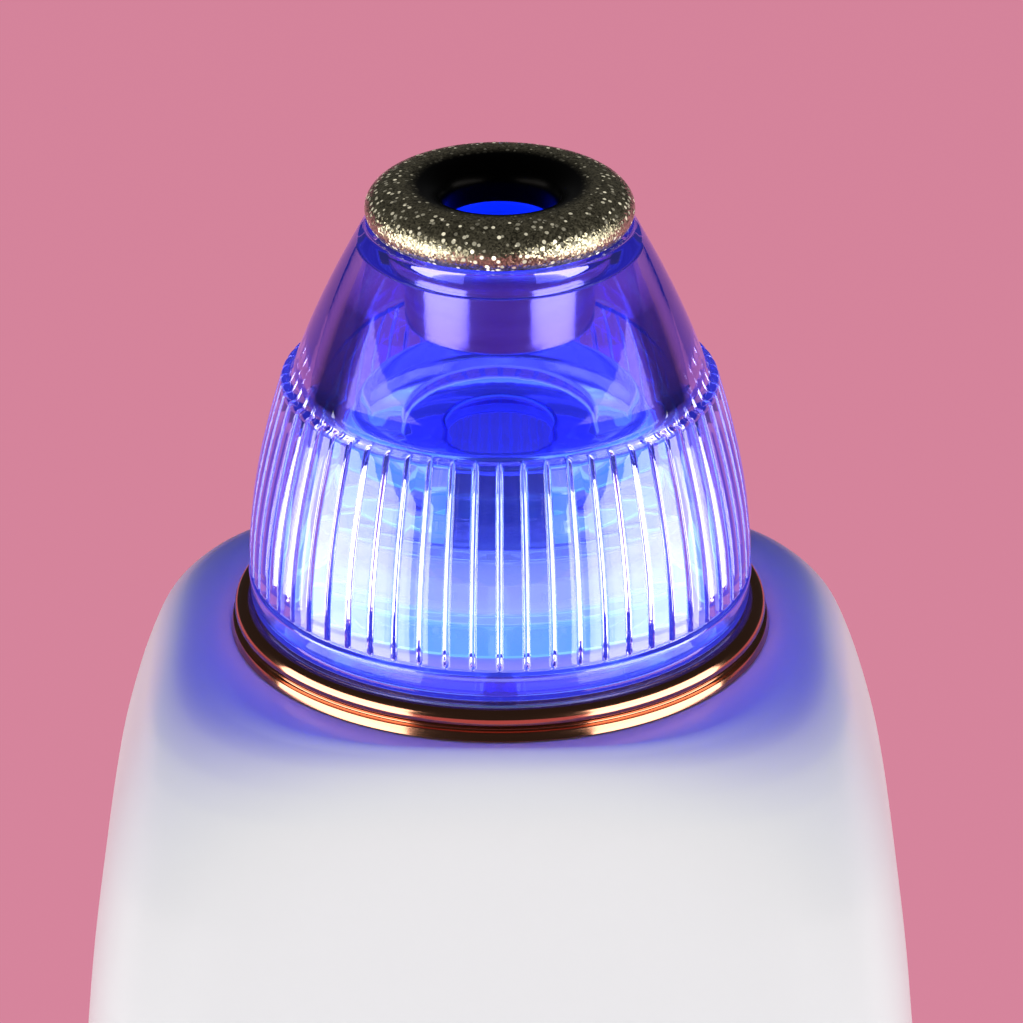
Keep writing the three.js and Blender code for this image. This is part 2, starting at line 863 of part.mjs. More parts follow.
function buttonCap(size, hold) {
  const face = frontAt(size.height) - size.proud;
  const flangeBack = hold + button.flangeThick;
  const profile = [
    [0, face + size.dish],
    [size.radius - button.edgeBreak, face],
    [size.radius, face + button.edgeBreak],
    [size.radius, hold],
    [size.radius + button.flangeLip, hold],
    [size.radius + button.flangeLip, flangeBack],
    [button.stemRadius, flangeBack],
    [button.stemRadius, plungerFront - tact.gap],
    [0, plungerFront - tact.gap],
  ];
  return revolveAlongY(profile, 0, size.height, middleSteps);
}

const innerFront = (height) => frontAt(height) + body.wall;

const powerHold = innerFront(power.height) + button.flangeGap;
const levelHold = innerFront(level.height) + button.flangeGap;

function powerTrim() {
  const face = frontAt(power.height);
  const inner = power.radius + power.gap;
  const front = face - power.trimProud;
  const lip = face - screwGap;
  return revolveAlongY(
    [
      [inner, front],
      [trimOuter + power.trimLip / 2, front],
      [trimOuter + power.trimLip, (front + lip) / 2],
      [trimOuter + power.trimLip, lip],
      [trimOuter, lip],
      [trimOuter, innerFront(power.height)],
      [inner, innerFront(power.height)],
    ],
    0,
    power.height,
    middleSteps,
  );
}

function lightPipe(height) {
  const back = boardFront - tact.gap - light.chipHeight - light.airGap;
  return bar(light.radius, frontAt(height), back, 0, height);
}

function lightChip(height) {
  const back = boardFront - tact.gap;
  const half = light.chip / 2;
  return box([-half, back - light.chipHeight, height - half], [half, back, height + half]);
}

function tactSwitch(height) {
  const half = tact.size / 2;
  const back = boardFront - tact.gap;
  const base = box([-half, back - tact.height, height - half], [half, back, height + half]);
  const face = back - tact.height;
  const wellRadius = tact.plungerRadius + tact.gap;
  const wellDepth = tact.plungerHeight + button.travel;
  return cut(base, bar(wellRadius, face - overrun, face + wellDepth, 0, height));
}

function plunger(height) {
  const seat = boardFront - tact.gap - tact.height;
  return bar(tact.plungerRadius, plungerFront, seat + tact.plungerHeight / 2, 0, height);
}

const boardScrewHeights = [board.bottom + 2 * board.screwRise, board.top - board.screwRise];

function mainBoard() {
  const plate = box(
    [-board.halfWidth, boardFront, board.bottom],
    [board.halfWidth, boardBack, board.top],
  );
  const holes = boardScrewHeights.map((height) =>
    bar(boardScrew.radius + screwGap, boardFront - overrun, boardBack + overrun, 0, height),
  );
  return cut(plate, ...holes);
}

function boardScrewAt(height) {
  const seat = boardFront - screwGap;
  const crown = bar(boardScrew.headRadius, seat - boardScrew.headHeight, seat, 0, height);
  const slotHalf = boardScrew.headRadius * slotWidthShare;
  const slotBack = seat - boardScrew.headHeight * slotDepthShare;
  const slot = box(
    [-boardScrew.headRadius - overrun, seat - boardScrew.headHeight - overrun, height - slotHalf / 2],
    [boardScrew.headRadius + overrun, slotBack, height + slotHalf / 2],
  );
  const shaftBack = plateFront + boardScrew.bite;
  const shaft = bar(boardScrew.radius, slotBack, shaftBack, 0, height, screwSteps);
  return join(cut(crown, slot), shaft);
}

function controlChip() {
  const half = board.chip / 2;
  const back = boardFront - tact.gap;
  const middle = board.bottom + board.chipRise;
  return box([-half, back - board.chipHeight, middle - half], [half, back, middle + half]);
}

function chargeSocket() {
  const low = socket.recess;
  const outline = (width, thick) => {
    const radius = thick / 2;
    const shape = new THREE.Shape();
    shape.absarc(width / 2 - radius, 0, radius, -turn / 4, turn / 4, false);
    shape.absarc(-width / 2 + radius, 0, radius, turn / 4, (3 * turn) / 4, false);
    return shape;
  };
  const prism = (width, thick, from, to) =>
    solidOf(
      new THREE.ExtrudeGeometry(outline(width, thick), {
        depth: to - from,
        bevelEnabled: false,
        curveSegments: socketEndSteps,
      }).translate(0, socketMiddle, from),
    );
  const shell = prism(socket.width, socket.thick, low, low + socket.length);
  const mouth = prism(socket.mouthWidth, socket.mouthThick, low - overrun, low + socket.mouthDepth);
  const tongueTop = (low + socket.mouthDepth + low + socket.length) / 2;
  const tongue = box(
    [-socket.tongueWidth / 2, socketMiddle - socket.tongueThick / 2, low + socket.recess],
    [socket.tongueWidth / 2, socketMiddle + socket.tongueThick / 2, tongueTop],
  );
  return join(cut(shell, mouth), tongue);
}

function batteryCell() {
  const profile = [
    [0, cell.bottom],
    [cell.radius - cell.edge, cell.bottom],
    [cell.radius, cell.bottom + cell.edge],
    [cell.radius, cellTop - cell.capHeight - cell.edge],
    [cell.radius - cell.edge, cellTop - cell.capHeight],
    [cell.capRadius, cellTop - cell.capHeight],
    [cell.capRadius, cellTop],
    [0, cellTop],
  ];
  return moved(revolve(profile, middleSteps), 0, works.axis, 0);
}

// Frame: an upright plate behind the board, saddles for cell and motor, a foot and a deck
function saddle(radius, height) {
  const plate = box(
    [-frame.saddleHalfWidth, plateMiddle, height - frame.saddleThick / 2],
    [frame.saddleHalfWidth, frame.saddleBack, height + frame.saddleThick / 2],
  );
  const round = rod(
    radius + works.gap,
    height - frame.saddleThick,
    height + frame.saddleThick,
    0,
    works.axis,
    middleSteps,
  );
  return cut(plate, round);
}

const sleeveSpan = [motorBottom + motor.sleeveMargin, motorTop - motor.sleeveMargin];
const cellSpan = [cell.bottom, cellTop];

function innerFrame() {
  const deckLow = frameTop - frame.deckThick;
  const plate = box(
    [-frame.halfWidth, plateFront, frame.bottom],
    [frame.halfWidth, plateBack, frameTop],
  );
  const foot = box(
    [-frame.halfWidth - frame.plateThick, plateMiddle, frame.bottom],
    [frame.halfWidth + frame.plateThick, frame.footDepth, frame.bottom + frame.footThick],
  );
  const deck = box(
    [-frame.halfWidth, plateMiddle, deckLow],
    [frame.halfWidth, frame.deckHalfDepth, frameTop],
  );
  const ears = [-1, 1].map((side) =>
    rod(frame.earRadius, deckLow, frameTop, side * body.bossSpan, 0),
  );
  const posts = Array.from({ length: postCount }, (_, i) => {
    const angle = around(postCount, i, -turn / 4);
    const x = frame.postCircle * Math.cos(angle);
    const y = frame.postCircle * Math.sin(angle);
    return rod(frame.postRadius, deckLow + frame.deckThick / 2, lampLow - works.gap, x, y);
  });
  const sleeveOuter = motor.radius + motor.partGap + motor.sleeveWall;
  const saddles = saddleShares.flatMap((share) => [
    saddle(cell.radius, between(cellSpan, share)),
    saddle(sleeveOuter, between(sleeveSpan, share)),
  ]);
  const footTop = frame.bottom + frame.footThick;
  const cuts = [
    rod(cell.radius + works.gap, -overrun, footTop + overrun, 0, works.axis, middleSteps),
    rod(frame.hoseHole, deckLow - overrun, frameTop + overrun, 0, 0, middleSteps),
    ...[-1, 1].map((side) =>
      rod(frameScrew.radius + screwGap, deckLow - overrun, frameTop + overrun, side * body.bossSpan, 0),
    ),
    ...[-1, 1].map((side) =>
      rod(
        baseScrew.radius + screwGap,
        frame.bottom - overrun,
        footTop + overrun,
        side * cap.screwSpan,
        works.axis,
      ),
    ),
    ...boardScrewHeights.map((height) =>
      bar(boardScrew.radius + screwGap, boardFront, plateBack + overrun, 0, height),
    ),
  ];
  return cut(join(plate, foot, deck, ...ears, ...posts, ...saddles), ...cuts);
}

// Motor: a can with flats, an end cap and a rubber sleeve
function motorCan() {
  const bore = motor.shaftRadius + motor.shaftGap;
  const can = revolve(
    [
      [bore, motorBottom],
      [motor.radius, motorBottom],
      [motor.radius, motorTop - motor.edge],
      [motor.radius - motor.edge, motorTop],
      [motor.bossRadius, motorTop],
      [motor.bossRadius, motorTop + motor.bossHeight],
      [bore, motorTop + motor.bossHeight],
    ],
    middleSteps,
  );
  const flats = [-1, 1].map((side) => {
    const near = side * (motor.radius - motor.flat);
    const far = side * (motor.radius + overrun);
    return box(
      [Math.min(near, far), -motor.radius, motorBottom - overrun],
      [Math.max(near, far), motor.radius, motorTop + overrun],
    );
  });
  return moved(cut(can, ...flats), 0, works.axis, 0);
}

function motorEndCap() {
  const high = motorBottom - motor.partGap;
  const low = high - motor.capHeight;
  const bore = motor.shaftRadius + motor.shaftGap;
  return moved(ring(bore, motor.capRadius, low, high, middleSteps), 0, works.axis, 0);
}

function motorSleeve() {
  const inner = motor.radius + motor.partGap;
  return moved(ring(inner, inner + motor.sleeveWall, ...sleeveSpan, middleSteps), 0, works.axis, 0);
}

// Crankshaft: shaft, hub and a leaning pin whose top meets the shaft's line
function crankShaft() {
  const hubLow = caseBottom + crank.hubRise;
  const hubTop = hubLow + crank.hubHeight;
  const shaft = rod(motor.shaftRadius, motorBottom - crank.tailBelow, hubTop - crank.hubHeight / 2);
  const hub = rod(crank.hubRadius, hubLow, hubTop, 0, 0, middleSteps);
  const foot = new THREE.Vector3(crank.pinOffset, 0, hubTop - crank.hubHeight / 2);
  const line = new THREE.LineCurve3(foot, new THREE.Vector3(0, 0, hubTop + crank.pinRise));
  const round = new THREE.Shape().absarc(0, 0, crank.pinRadius, 0, turn, false);
  const pin = solidOf(
    new THREE.ExtrudeGeometry(round, {
      steps: 1,
      curveSegments: pinSegments,
      bevelEnabled: false,
      extrudePath: line,
    }),
  );
  return moved(join(shaft, hub, pin), 0, works.axis, 0);
}

const cupPlaces = Array.from({ length: cupCount }, (_, i) => {
  const angle = around(cupCount, i, turn / 4);
  return [pump.cupCircle * Math.cos(angle), pump.cupCircle * Math.sin(angle)];
});
const pumpScrewPlaces = Array.from({ length: pumpScrewCount }, (_, i) => {
  const angle = around(pumpScrewCount, i);
  return [pump.screwCircle * Math.cos(angle), pump.screwCircle * Math.sin(angle)];
});
const nozzlePlaces = [-1, 1].map((side) => [side * pump.nozzleOffset, 0]);

const pumpScrewHoles = (low, high) =>
  pumpScrewPlaces.map(([x, y]) => rod(pump.screwRadius + screwGap, low, high, x, y));

function pumpCase() {
  const shell = revolve(
    [
      [motor.bossRadius + works.gap, caseBottom],
      [pump.radius, caseBottom],
      [pump.radius, caseTop],
      [pump.radius - pump.wall, caseTop],
      [pump.radius - pump.wall, caseBottom + pump.floor],
      [motor.bossRadius + works.gap, caseBottom + pump.floor],
    ],
    middleSteps,
  );
  const pillarRadius = pump.radius - pump.screwCircle;
  const pillars = pumpScrewPlaces.map(([x, y]) => {
    const share = (pump.screwCircle - screwGap) / pump.screwCircle;
    const foot = caseBottom + pump.floor / 2;
    return rod(pillarRadius - screwGap, foot, caseTop, x * share, y * share);
  });
  const holes = pumpScrewHoles(caseTop - pump.screwBite, caseTop + overrun);
  return moved(cut(join(shell, ...pillars), ...holes), 0, works.axis, 0);
}

function pumpRubber() {
  const disc = rod(pump.radius, rubberLow, rubberTop, 0, 0, middleSteps);
  const cupLow = rubberTop - pump.cupDepth;
  const cups = cupPlaces.map(([x, y]) => rod(pump.cupRadius, cupLow, rubberTop, x, y));
  const nubs = cupPlaces.map(([x, y]) =>
    rod(pump.nubRadius, cupLow - pump.nubLength, cupLow + pump.cupWall / 2, x, y, screwSteps),
  );
  const hollows = cupPlaces.map(([x, y]) =>
    rod(pump.cupRadius - pump.cupWall, cupLow + pump.cupWall, rubberTop + overrun, x, y),
  );
  const screwHoles = pumpScrewHoles(rubberLow - overrun, rubberTop + overrun);
  return moved(cut(join(disc, ...cups, ...nubs), ...hollows, ...screwHoles), 0, works.axis, 0);
}

function wobblePlate() {
  const low = caseBottom + wobble.rise;
  const high = low + wobble.thick;
  const hub = rod(wobble.hubRadius, low, high);
  const arms = cupPlaces.map(([x, y]) => {
    const arm = new THREE.BoxGeometry(wobble.armRadius, wobble.armWidth, wobble.thick);
    arm.translate(wobble.armRadius / 2, 0, (low + high) / 2);
    return solidOf(arm.rotateZ(Math.atan2(y, x)));
  });
  const holes = cupPlaces.map(([x, y]) =>
    rod(pump.nubRadius + wobble.nubGap, low - overrun, high + overrun, x, y, screwSteps),
  );
  const bore = rod(wobble.bore, low - overrun, high + overrun);
  return moved(cut(join(hub, ...arms), bore, ...holes), 0, works.axis, 0);
}

function valvePlate() {
  const disc = rod(pump.radius, valveLow, valveTop, 0, 0, middleSteps);
  const low = valveLow - overrun;
  const high = valveTop + overrun;
  const holes = cupPlaces.map(([x, y]) => rod(pump.valveHole, low, high, x, y, screwSteps));
  return moved(cut(disc, ...holes, ...pumpScrewHoles(low, high)), 0, works.axis, 0);
}

function pumpLid() {
  const disc = rod(pump.radius, lidLow, lidTop, 0, 0, middleSteps);
  const nozzleTop = lidTop + pump.nozzleLength;
  const nozzles = nozzlePlaces.map(([x, y]) =>
    rod(pump.nozzleRadius, lidTop - pump.lidThick / 2, nozzleTop, x, y),
  );
  const bores = nozzlePlaces.flatMap(([x, y]) => [
    rod(pump.nozzleBore, lidLow - overrun, nozzleTop + overrun, x, y, screwSteps),
    rod(pump.cupRadius, lidLow - overrun, lidLow + pump.lidRecess, x, y),
  ]);
  const screwHoles = pumpScrewHoles(lidLow - overrun, lidTop + overrun);
  return moved(cut(join(disc, ...nozzles), ...bores, ...screwHoles), 0, works.axis, 0);
}

function pumpScrewAt(i) {
  const [x, y] = pumpScrewPlaces[i];
  const seat = lidTop + screwGap;
  const low = caseTop - pump.screwBite + screwGap;
  const crown = rod(pump.screwHeadRadius, seat, seat + pump.screwHeadHeight);
  const slotHalf = pump.screwHeadRadius * slotWidthShare;
  const slotLow = seat + pump.screwHeadHeight * slotDepthShare;
  const slot = box(
    [-pump.screwHeadRadius - overrun, -slotHalf / 2, slotLow],
    [pump.screwHeadRadius + overrun, slotHalf / 2, seat + pump.screwHeadHeight + overrun],
  );
  const shaft = rod(pump.screwRadius, low, slotLow, 0, 0, screwSteps);
  return moved(join(cut(crown, slot), shaft), x, y + works.axis, 0);
}

// Suction hose: from the barb under the bowl to the pump's inlet
function suctionHose() {
  const [inletX] = nozzlePlaces[0];
  const high = barbEnd + bowl.barbLength - hose.gap;
  const low = lidTop + hose.gap;
  const bendHigh = barbEnd - hose.lead;
  const bendLow = lidTop + pump.nozzleLength + hose.lead;
  const path = new THREE.CubicBezierCurve3(
    new THREE.Vector3(0, 0, bendHigh),
    new THREE.Vector3(0, 0, bendHigh - hose.radius),
    new THREE.Vector3(inletX, works.axis, bendLow + hose.radius),
    new THREE.Vector3(inletX, works.axis, bendLow),
  );
  const route = new THREE.CurvePath();
  route.add(new THREE.LineCurve3(new THREE.Vector3(0, 0, high), path.v0));
  route.add(path);
  route.add(new THREE.LineCurve3(path.v3, new THREE.Vector3(inletX, works.axis, low)));
  const round = new THREE.Shape().absarc(0, 0, hose.radius, 0, turn, false);
  round.holes.push(new THREE.Path().absarc(0, 0, hose.bore, 0, turn, true));
  return solidOf(
    new THREE.ExtrudeGeometry(round, {
      steps: hoseSteps,
      curveSegments: hoseSides / 2,
      bevelEnabled: false,
      extrudePath: route,
    }),
  );
}

// Finishes
const finish = (color, roughness, metalness, extra = {}) =>
  new THREE.MeshStandardMaterial({ color, roughness, metalness, ...extra });
const whiteAbs = finish(0xf1f1f2, 0.25, 0);
const roseGold = finish(0xb87a5e, 0.15, 1);
const clearPlastic = finish(0xc8ccff, 0.05, 0, { transparent: true, opacity: 0.4 });
const gritCoat = finish(0x5a5344, 0.35, 0.9);
const silicone = finish(0xd8d8dc, 0.6, 0);
const felt = finish(0xf4f2ea, 0.95, 0);
const boardGreen = finish(0x1f5a3a, 0.5, 0);
const lampBlue = finish(0x4a5cff, 0.3, 0, { emissive: 0x2030ff });
const blackPlastic = finish(0x1c1c1f, 0.4, 0);
const greyPlastic = finish(0x8d9096, 0.5, 0);
const steel = finish(0xb9bcc2, 0.25, 1);
const cellWrap = finish(0x3a6ea8, 0.35, 0);
const pumpPlastic = finish(0xdfe0dc, 0.45, 0);

// Assembly
const device = new THREE.Group();
const headUnit = new THREE.Group();
const pumpUnit = new THREE.Group();
const electronics = new THREE.Group();
device.add(headUnit, pumpUnit, electronics);

function place(group, name, solid, material) {
  const mesh = new THREE.Mesh(geometryOf(solid), material);
  mesh.name = name;
  group.add(mesh);
}

place(device, "body_shell", bodyShell(), whiteAbs);
place(device, "base_cap", baseCap(), whiteAbs);
place(device, "bezel_ring", bezelRing(), roseGold);
place(device, "inner_frame", innerFrame(), greyPlastic);
[-1, 1].forEach((side, i) => {
  place(device, `frame_screw_${i + 1}`, frameScrewAt(side), steel);
  place(device, `base_screw_${i + 1}`, baseScrewAt(side), steel);
});

place(headUnit, "clear_head", clearHead(), clearPlastic);
place(headUnit, "diamond_tip", diamondTip(), gritCoat);
place(headUnit, "tip_o_ring", tipRing(), silicone);
place(headUnit, "nozzle_bowl", nozzleBowl(), clearPlastic);
place(headUnit, "head_seal", headSeal(), silicone);
place(headUnit, "felt_filter", feltFilter(), felt);
nozzleScrewPlaces.forEach((_, i) => {
  place(headUnit, `nozzle_screw_${i + 1}`, nozzleScrewAt(i), steel);
});

place(electronics, "lamp_board", lampBoard(), boardGreen);
for (let i = 0; i < lampCount; i++) {
  place(electronics, `lamp_chip_${i + 1}`, lampChip(i), lampBlue);
}
place(electronics, "power_button", buttonCap(power, powerHold), whiteAbs);
place(electronics, "power_trim", powerTrim(), roseGold);
place(electronics, "level_button", buttonCap(level, levelHold), whiteAbs);
lightHeights.forEach((height, i) => {
  place(electronics, `level_light_${i + 1}`, lightPipe(height), clearPlastic);
  place(electronics, `light_chip_${i + 1}`, lightChip(height), lampBlue);
});
place(electronics, "main_board", mainBoard(), boardGreen);
boardScrewHeights.forEach((height, i) => {
  place(electronics, `board_screw_${i + 1}`, boardScrewAt(height), steel);
});
place(electronics, "power_switch", tactSwitch(power.height), blackPlastic);
place(electronics, "power_plunger", plunger(power.height), greyPlastic);
place(electronics, "level_switch", tactSwitch(level.height), blackPlastic);
place(electronics, "level_plunger", plunger(level.height), greyPlastic);
place(electronics, "control_chip", controlChip(), blackPlastic);
place(electronics, "charge_socket", chargeSocket(), steel);
place(electronics, "battery_cell", batteryCell(), cellWrap);

place(pumpUnit, "motor_can", motorCan(), steel);
place(pumpUnit, "motor_end_cap", motorEndCap(), blackPlastic);
place(pumpUnit, "motor_sleeve", motorSleeve(), blackPlastic);
place(pumpUnit, "crank_shaft", crankShaft(), steel);
place(pumpUnit, "pump_case", pumpCase(), pumpPlastic);
place(pumpUnit, "wobble_plate", wobblePlate(), pumpPlastic);
place(pumpUnit, "pump_rubber", pumpRubber(), silicone);
place(pumpUnit, "valve_plate", valvePlate(), pumpPlastic);
place(pumpUnit, "pump_lid", pumpLid(), pumpPlastic);
pumpScrewPlaces.forEach((_, i) => place(pumpUnit, `pump_screw_${i + 1}`, pumpScrewAt(i), steel));
place(pumpUnit, "suction_hose", suctionHose(), silicone);

export default device;
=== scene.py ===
"""Skins, finishes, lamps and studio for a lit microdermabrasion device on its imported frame.

Sizes are in millimetres and become metres when a mesh is written. Heights of the head's pieces
are measured from the head's foot, as `HEAD_FOOT` gives it.
"""

from __future__ import annotations

import json
import logging
import math
from dataclasses import dataclass
from enum import Enum
from functools import partial
from typing import Callable, Sequence

import bmesh
import bpy
import numpy as np
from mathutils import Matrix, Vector


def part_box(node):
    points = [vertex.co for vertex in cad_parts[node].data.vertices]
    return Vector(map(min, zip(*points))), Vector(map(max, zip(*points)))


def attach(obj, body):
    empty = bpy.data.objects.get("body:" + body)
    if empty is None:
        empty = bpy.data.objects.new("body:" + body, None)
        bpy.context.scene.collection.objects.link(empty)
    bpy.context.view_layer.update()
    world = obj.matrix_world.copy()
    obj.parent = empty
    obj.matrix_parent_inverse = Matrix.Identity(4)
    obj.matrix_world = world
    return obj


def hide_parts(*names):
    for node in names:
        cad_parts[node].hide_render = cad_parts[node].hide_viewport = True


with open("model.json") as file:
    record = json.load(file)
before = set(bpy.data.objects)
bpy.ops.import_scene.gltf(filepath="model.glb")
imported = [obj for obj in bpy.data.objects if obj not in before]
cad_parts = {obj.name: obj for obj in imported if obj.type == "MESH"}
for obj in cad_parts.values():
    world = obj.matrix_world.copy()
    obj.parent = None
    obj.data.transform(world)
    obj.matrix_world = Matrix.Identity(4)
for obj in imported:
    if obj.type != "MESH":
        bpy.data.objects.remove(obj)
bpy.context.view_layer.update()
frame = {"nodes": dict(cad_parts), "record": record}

Array = np.ndarray
Tree = bpy.types.NodeTree
Node = bpy.types.Node
Thing = bpy.types.Object
Pair = tuple[float, float]
Triple = tuple[float, float, float]
Stop = tuple[float, str, float]
LOG = logging.getLogger("device")
MM = 0.001
TURN = 2 * math.pi
SIDES = (-1, 1)
PLATEAU = 140.0
HEAD_FOOT = 141.85
WORKS_AXIS = 3.2

# Settings that many nodes share
RGBA = {"data_type": "RGBA"}
TIMES = {"operation": "MULTIPLY"}
SMOOTH = {"interpolation_type": "SMOOTHSTEP"}


def linear(code: str) -> tuple[float, float, float, float]:
    """Turns an sRGB hex colour of six digits into linear light, with an alpha of one."""
    shares = [int(code[i : i + 2], 16) / 255 for i in (0, 2, 4)]
    parts = [s / 12.92 if s <= 0.04045 else ((s + 0.055) / 1.055) ** 2.4 for s in shares]
    return (*parts, 1.0)


def add_node(
    tree: Tree, kind: str, *values: object, named: dict[str, object] | None = None, **settings: object
) -> Node:
    """Adds a node with its settings and links.

    A value is a constant, a socket, or a node that stands for the first of its outputs in use.

    Args:
        tree: the tree it goes into.
        kind: the node's class name after ShaderNode.
        *values: one for each of the inputs in use, in their order.
        named: values by input name.
        **settings: the node's own attributes.

    Returns:
        The new node.
    """
    node = tree.nodes.new("ShaderNode" + kind)
    for name, value in settings.items():
        setattr(node, name, value)
    places = [*zip((s for s in node.inputs if s.enabled), values)]
    places += [(node.inputs[name], value) for name, value in (named or {}).items()]
    for place, value in places:
        if isinstance(value, Node):
            value = next(s for s in value.outputs if s.enabled)
        if isinstance(value, bpy.types.NodeSocket):
            tree.links.new(value, place)
        else:
            place.default_value = value
    return node


def blank_material(name: str) -> bpy.types.Material:
    """Makes a material whose tree is empty."""
    made = bpy.data.materials.new(name)
    made.use_nodes = True
    made.node_tree.nodes.clear()
    return made


def from_axis(tree: Tree) -> Node:
    """Gives the distance from the device's axis."""
    place = add_node(tree, "TexCoord").outputs["Object"]
    flat = add_node(tree, "VectorMath", place, (1.0, 1.0, 0.0), **TIMES)
    return add_node(tree, "VectorMath", flat, operation="LENGTH")


@dataclass(frozen=True)
class Finish:
    """One surface: what it is made of, its typical optical values and its fine pattern."""

    name: str
    colour: str
    roughness: float
    metallic: float = 0.0
    ior: float = 1.5
    transmission: float = 0.0
    coat: float = 0.0
    grain_mm: float = 0.5
    relief_mm: float = 0.002
    mottle: float = 0.04
    rough_range: float = 0.06
    # Own light of lamps and light pipes; on the bore and the lamp board it is painted light
    glow: str = "000000"
    glow_strength: float = 0.0
    turned: bool = False

    def inputs(self, tree: Tree) -> dict[str, object]:
        """Works out the shader's inputs, with mottled colour, roughness range and relief.

        A cloud of nine grains' width lightens and darkens the colour and roughens it in turn, and
        a finer one gives the relief. On a turned surface both are drawn out round the axis.

        Args:
            tree: the material's tree.

        Returns:
            Values by the input names of the principled shader.
        """
        add = partial(add_node, tree)
        place = add("TexCoord").outputs["Object"]
        if self.turned:
            place = add("Mapping", place, named={"Scale": (0.3, 0.3, 4.0)})
        coarse = add("TexNoise", place, 1 / (self.grain_mm * 9 * MM), 3.0)
        fine = add("TexNoise", place, 1 / (self.grain_mm * MM), 2.0)
        base, half = np.array(linear(self.colour)[:3]), self.rough_range / 2
        dark, light = ((*np.clip(base * (1 + side * self.mottle), 0, 1), 1.0) for side in SIDES)
        smoothest, roughest = max(0.0, self.roughness - half), self.roughness + half
        inputs = {
            "Base Color": add("Mix", add("MapRange", coarse, 0.25, 0.75), dark, light, **RGBA),
            "Roughness": add("MapRange", coarse, 0.3, 0.7, smoothest, roughest),
            "Normal": add("Bump", 1.0, self.relief_mm * MM, named={"Height": fine}),
            "Metallic": self.metallic,
            "Transmission Weight": self.transmission,
            "Coat Weight": self.coat,
            "Emission Color": linear(self.glow),
            "Emission Strength": self.glow_strength,
        }
        return inputs if self.metallic else {**inputs, "IOR": self.ior}

    def material(self) -> bpy.types.Material:
        """Makes the material, or gives the one made before under the same name."""
        made = bpy.data.materials.get(self.name)
        if not made:
            made = blank_material(self.name)
            tree = made.node_tree
            add_node(tree, "OutputMaterial", add_node(tree, "BsdfPrincipled", named=self.inputs(tree)))
        return made


@dataclass(frozen=True)
class GritFinish(Finish):
    """Electroplated diamond grit: an olive ground with small specks, and a smooth dark mouth.

    The specks are drawn coarser than real grit of 0.1 mm, which is too fine to show.
    """

    speck_mm: float = 0.3
    speck_colour: str = "FFF6D8"
    speck_metal: float = 0.3
    speck_share: Pair = (0.55, 0.65)
    speck_edge: Pair = (0.46, 0.32)
    ground_mm: float = 0.09
    ground_shades: Pair = (0.35, 1.8)
    steepness: Pair = (0.5, 2.2)
    # Emission strength of the ground and of a glinting speck: a painted glow and painted glints that stand in
    # for light from above
    glint: Pair = (0.08, 0.8)
    mouth_mm: float = 4.9
    mouth_colour: str = "0B0A09"
    fade_mm: float = 1.0

    def inputs(self, tree: Tree) -> dict[str, object]:
        """Tilts the normal cell by cell and sets round specks into a share of the cells.

        Each cell of the fine Voronoi pattern tilts the normal by its random colour. A coarser
        Voronoi pattern sets a speck round the middle of each cell whose random blue part is
        high. Both fade out towards the mouth, where the plating is smooth and dark.
        """
        add = partial(add_node, tree)
        place = add("TexCoord").outputs["Object"]
        fine, coarse = (
            add("TexVoronoi", place, 1 / (size * MM)).outputs for size in (self.ground_mm, self.speck_mm)
        )
        start = (self.mouth_mm - self.fade_mm / 2) * MM
        outer = add("MapRange", from_axis(tree), start, start + self.fade_mm * MM, **SMOOTH)
        parts = add("SeparateColor", coarse["Color"]).outputs
        chosen = add("MapRange", parts["Blue"], *self.speck_share)
        rounded = add("MapRange", coarse["Distance"], *self.speck_edge)
        speck = add("Math", add("Math", chosen, rounded, **TIMES), outer, **TIMES)
        shade = add("MapRange", add("SeparateColor", fine["Color"]), 0.0, 1.0, *self.ground_shades)
        ground = add("VectorMath", linear(self.colour)[:3], shade, operation="SCALE")
        plated = add("Mix", outer, linear(self.mouth_colour), ground, **RGBA)
        colour = add("Mix", speck, plated, linear(self.speck_colour), **RGBA)
        random = add("Mix", speck, fine["Color"], coarse["Color"], **RGBA)
        tilt = add("VectorMath", random, (0.8, 0.8, 0.8), (-0.4, -0.4, -0.4), operation="MULTIPLY_ADD")
        steep = add("Math", add("MapRange", speck, 0.0, 1.0, *self.steepness), outer, **TIMES)
        tilt = add("VectorMath", tilt, steep, operation="SCALE")
        # Painted glints: specks whose random red part is high glow brightly, and the ground keeps a faint
        # painted glow
        painted_glint_share = add("Math", speck, add("Math", parts["Red"], parts["Red"], **TIMES), **TIMES)
        return {
            "Base Color": colour,
            "Metallic": add("MapRange", speck, 0.0, 1.0, self.metallic, self.speck_metal),
            "Roughness": self.roughness,
            "Normal": add("VectorMath", add("NewGeometry").outputs["Normal"], tilt, operation="ADD"),
            "Emission Color": colour,
            "Emission Strength": add("MapRange", painted_glint_share, 0.0, 1.0, *self.glint),
        }


